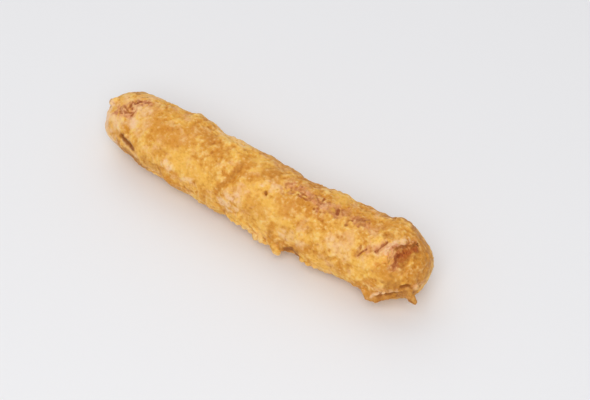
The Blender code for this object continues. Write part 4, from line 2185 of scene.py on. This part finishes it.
@dataclass(frozen=True)
class Studio:
    """A pale floor, soft light and the camera."""

    spine: Spine
    azimuth: float = 34.6
    elevation: float = 51.5
    distance: float = 0.900
    lens: float = 107.1
    aim: tuple[float, float, float] = (0.0169, 0.0052, 0.0192)
    nearest_seen: float = 0.05
    floor_size: float = 12.0
    floor_squares: int = 8
    floor_colour: Colour = shade(236, 236, 237)
    floor_roughness: float = 0.7
    sky: tuple[float, float, float, float] = (1.0, 1.0, 1.02, 1.0)
    sky_strength: float = 0.58
    lamps: tuple[Lamp, ...] = (
        Lamp("key_lamp", 26.0, 56.0, 1.4, 1.0, 9.0),
        Lamp("window_lamp", -130.0, 52.0, 1.6, 1.2, 3.2),
    )

    def build(self) -> None:
        """Makes the floor, the light and the camera."""
        self.build_floor()
        self.build_light()
        self.build_camera()
        bpy.context.scene.view_settings.view_transform = "Standard"

    def build_floor(self) -> None:
        """Makes the floor, which isn't part of the object."""
        shape = bmesh.new()
        squares = {"x_segments": self.floor_squares, "y_segments": self.floor_squares}
        bmesh.ops.create_grid(shape, size=self.floor_size / 2, **squares)
        mesh = bpy.data.meshes.new("floor")
        shape.to_mesh(mesh)
        shape.free()
        floor = bpy.data.objects.new("floor", mesh)
        floor.location.z = self.spine.low.z
        bpy.context.scene.collection.objects.link(floor)
        finish = NodeFinish("pale_floor")
        finish.shader.inputs["Base Color"].default_value = self.floor_colour
        finish.shader.inputs["Roughness"].default_value = self.floor_roughness
        mesh.materials.append(finish.made)

    def build_light(self) -> None:
        """Makes the even light all round and the lamps."""
        world = bpy.data.worlds.new("soft_light")
        world.use_nodes = True
        background = world.node_tree.nodes["Background"]
        background.inputs["Color"].default_value = self.sky
        background.inputs["Strength"].default_value = self.sky_strength
        bpy.context.scene.world = world
        aim = Vector((0.0, 0.0, self.spine.height))
        for lamp in self.lamps:
            light = bpy.data.lights.new(lamp.name, "AREA")
            light.size = lamp.size
            light.energy = lamp.power
            light.color = lamp.colour
            shown = bpy.data.objects.new(lamp.name, light)
            self.face(shown, aim, lamp.azimuth, lamp.elevation, lamp.distance)
            bpy.context.scene.collection.objects.link(shown)

    def build_camera(self) -> None:
        """Makes the camera."""
        camera = bpy.data.cameras.new("camera")
        camera.lens = self.lens
        camera.clip_start = self.nearest_seen
        shown = bpy.data.objects.new("camera", camera)
        self.face(shown, Vector(self.aim), self.azimuth, self.elevation, self.distance)
        bpy.context.scene.collection.objects.link(shown)
        bpy.context.scene.camera = shown

    def face(
        self,
        thing: bpy.types.Object,
        aim: Vector,
        azimuth: float,
        elevation: float,
        distance: float,
    ) -> None:
        """Puts a lamp or a camera at a distance from a point and turns it to that point.

        Args:
            thing: the lamp or camera.
            aim: the point that it looks at.
            azimuth: the angle round the point in degrees, 0 being the -Y side.
            elevation: the angle above the floor in degrees.
            distance: how far away it stands.
        """
        turn, rise = math.radians(azimuth), math.radians(elevation)
        level = math.cos(rise)
        back = Vector((math.sin(turn) * level, -math.cos(turn) * level, math.sin(rise)))
        thing.location = aim + back * distance
        thing.rotation_mode = "QUATERNION"
        thing.rotation_quaternion = (-back).to_track_quat("-Z", "Y")


def main() -> None:
    """Builds the studio and the coat, and says what was made."""
    logging.basicConfig(level=logging.INFO, format="%(name)s: %(message)s")
    low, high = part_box(NODE)
    spine = Spine(low, high)
    studio = Studio(spine)
    studio.build()
    LOG.info("studio: floor, %d lamps and camera", len(studio.lamps))
    coat = BatterCoat(spine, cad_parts[NODE]).build()
    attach(coat, BODY)
    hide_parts(NODE)
    mesh = coat.data
    LOG.info("%s: %d vertices, %d faces", coat.name, len(mesh.vertices), len(mesh.polygons))


if __name__ == "__main__":
    main()
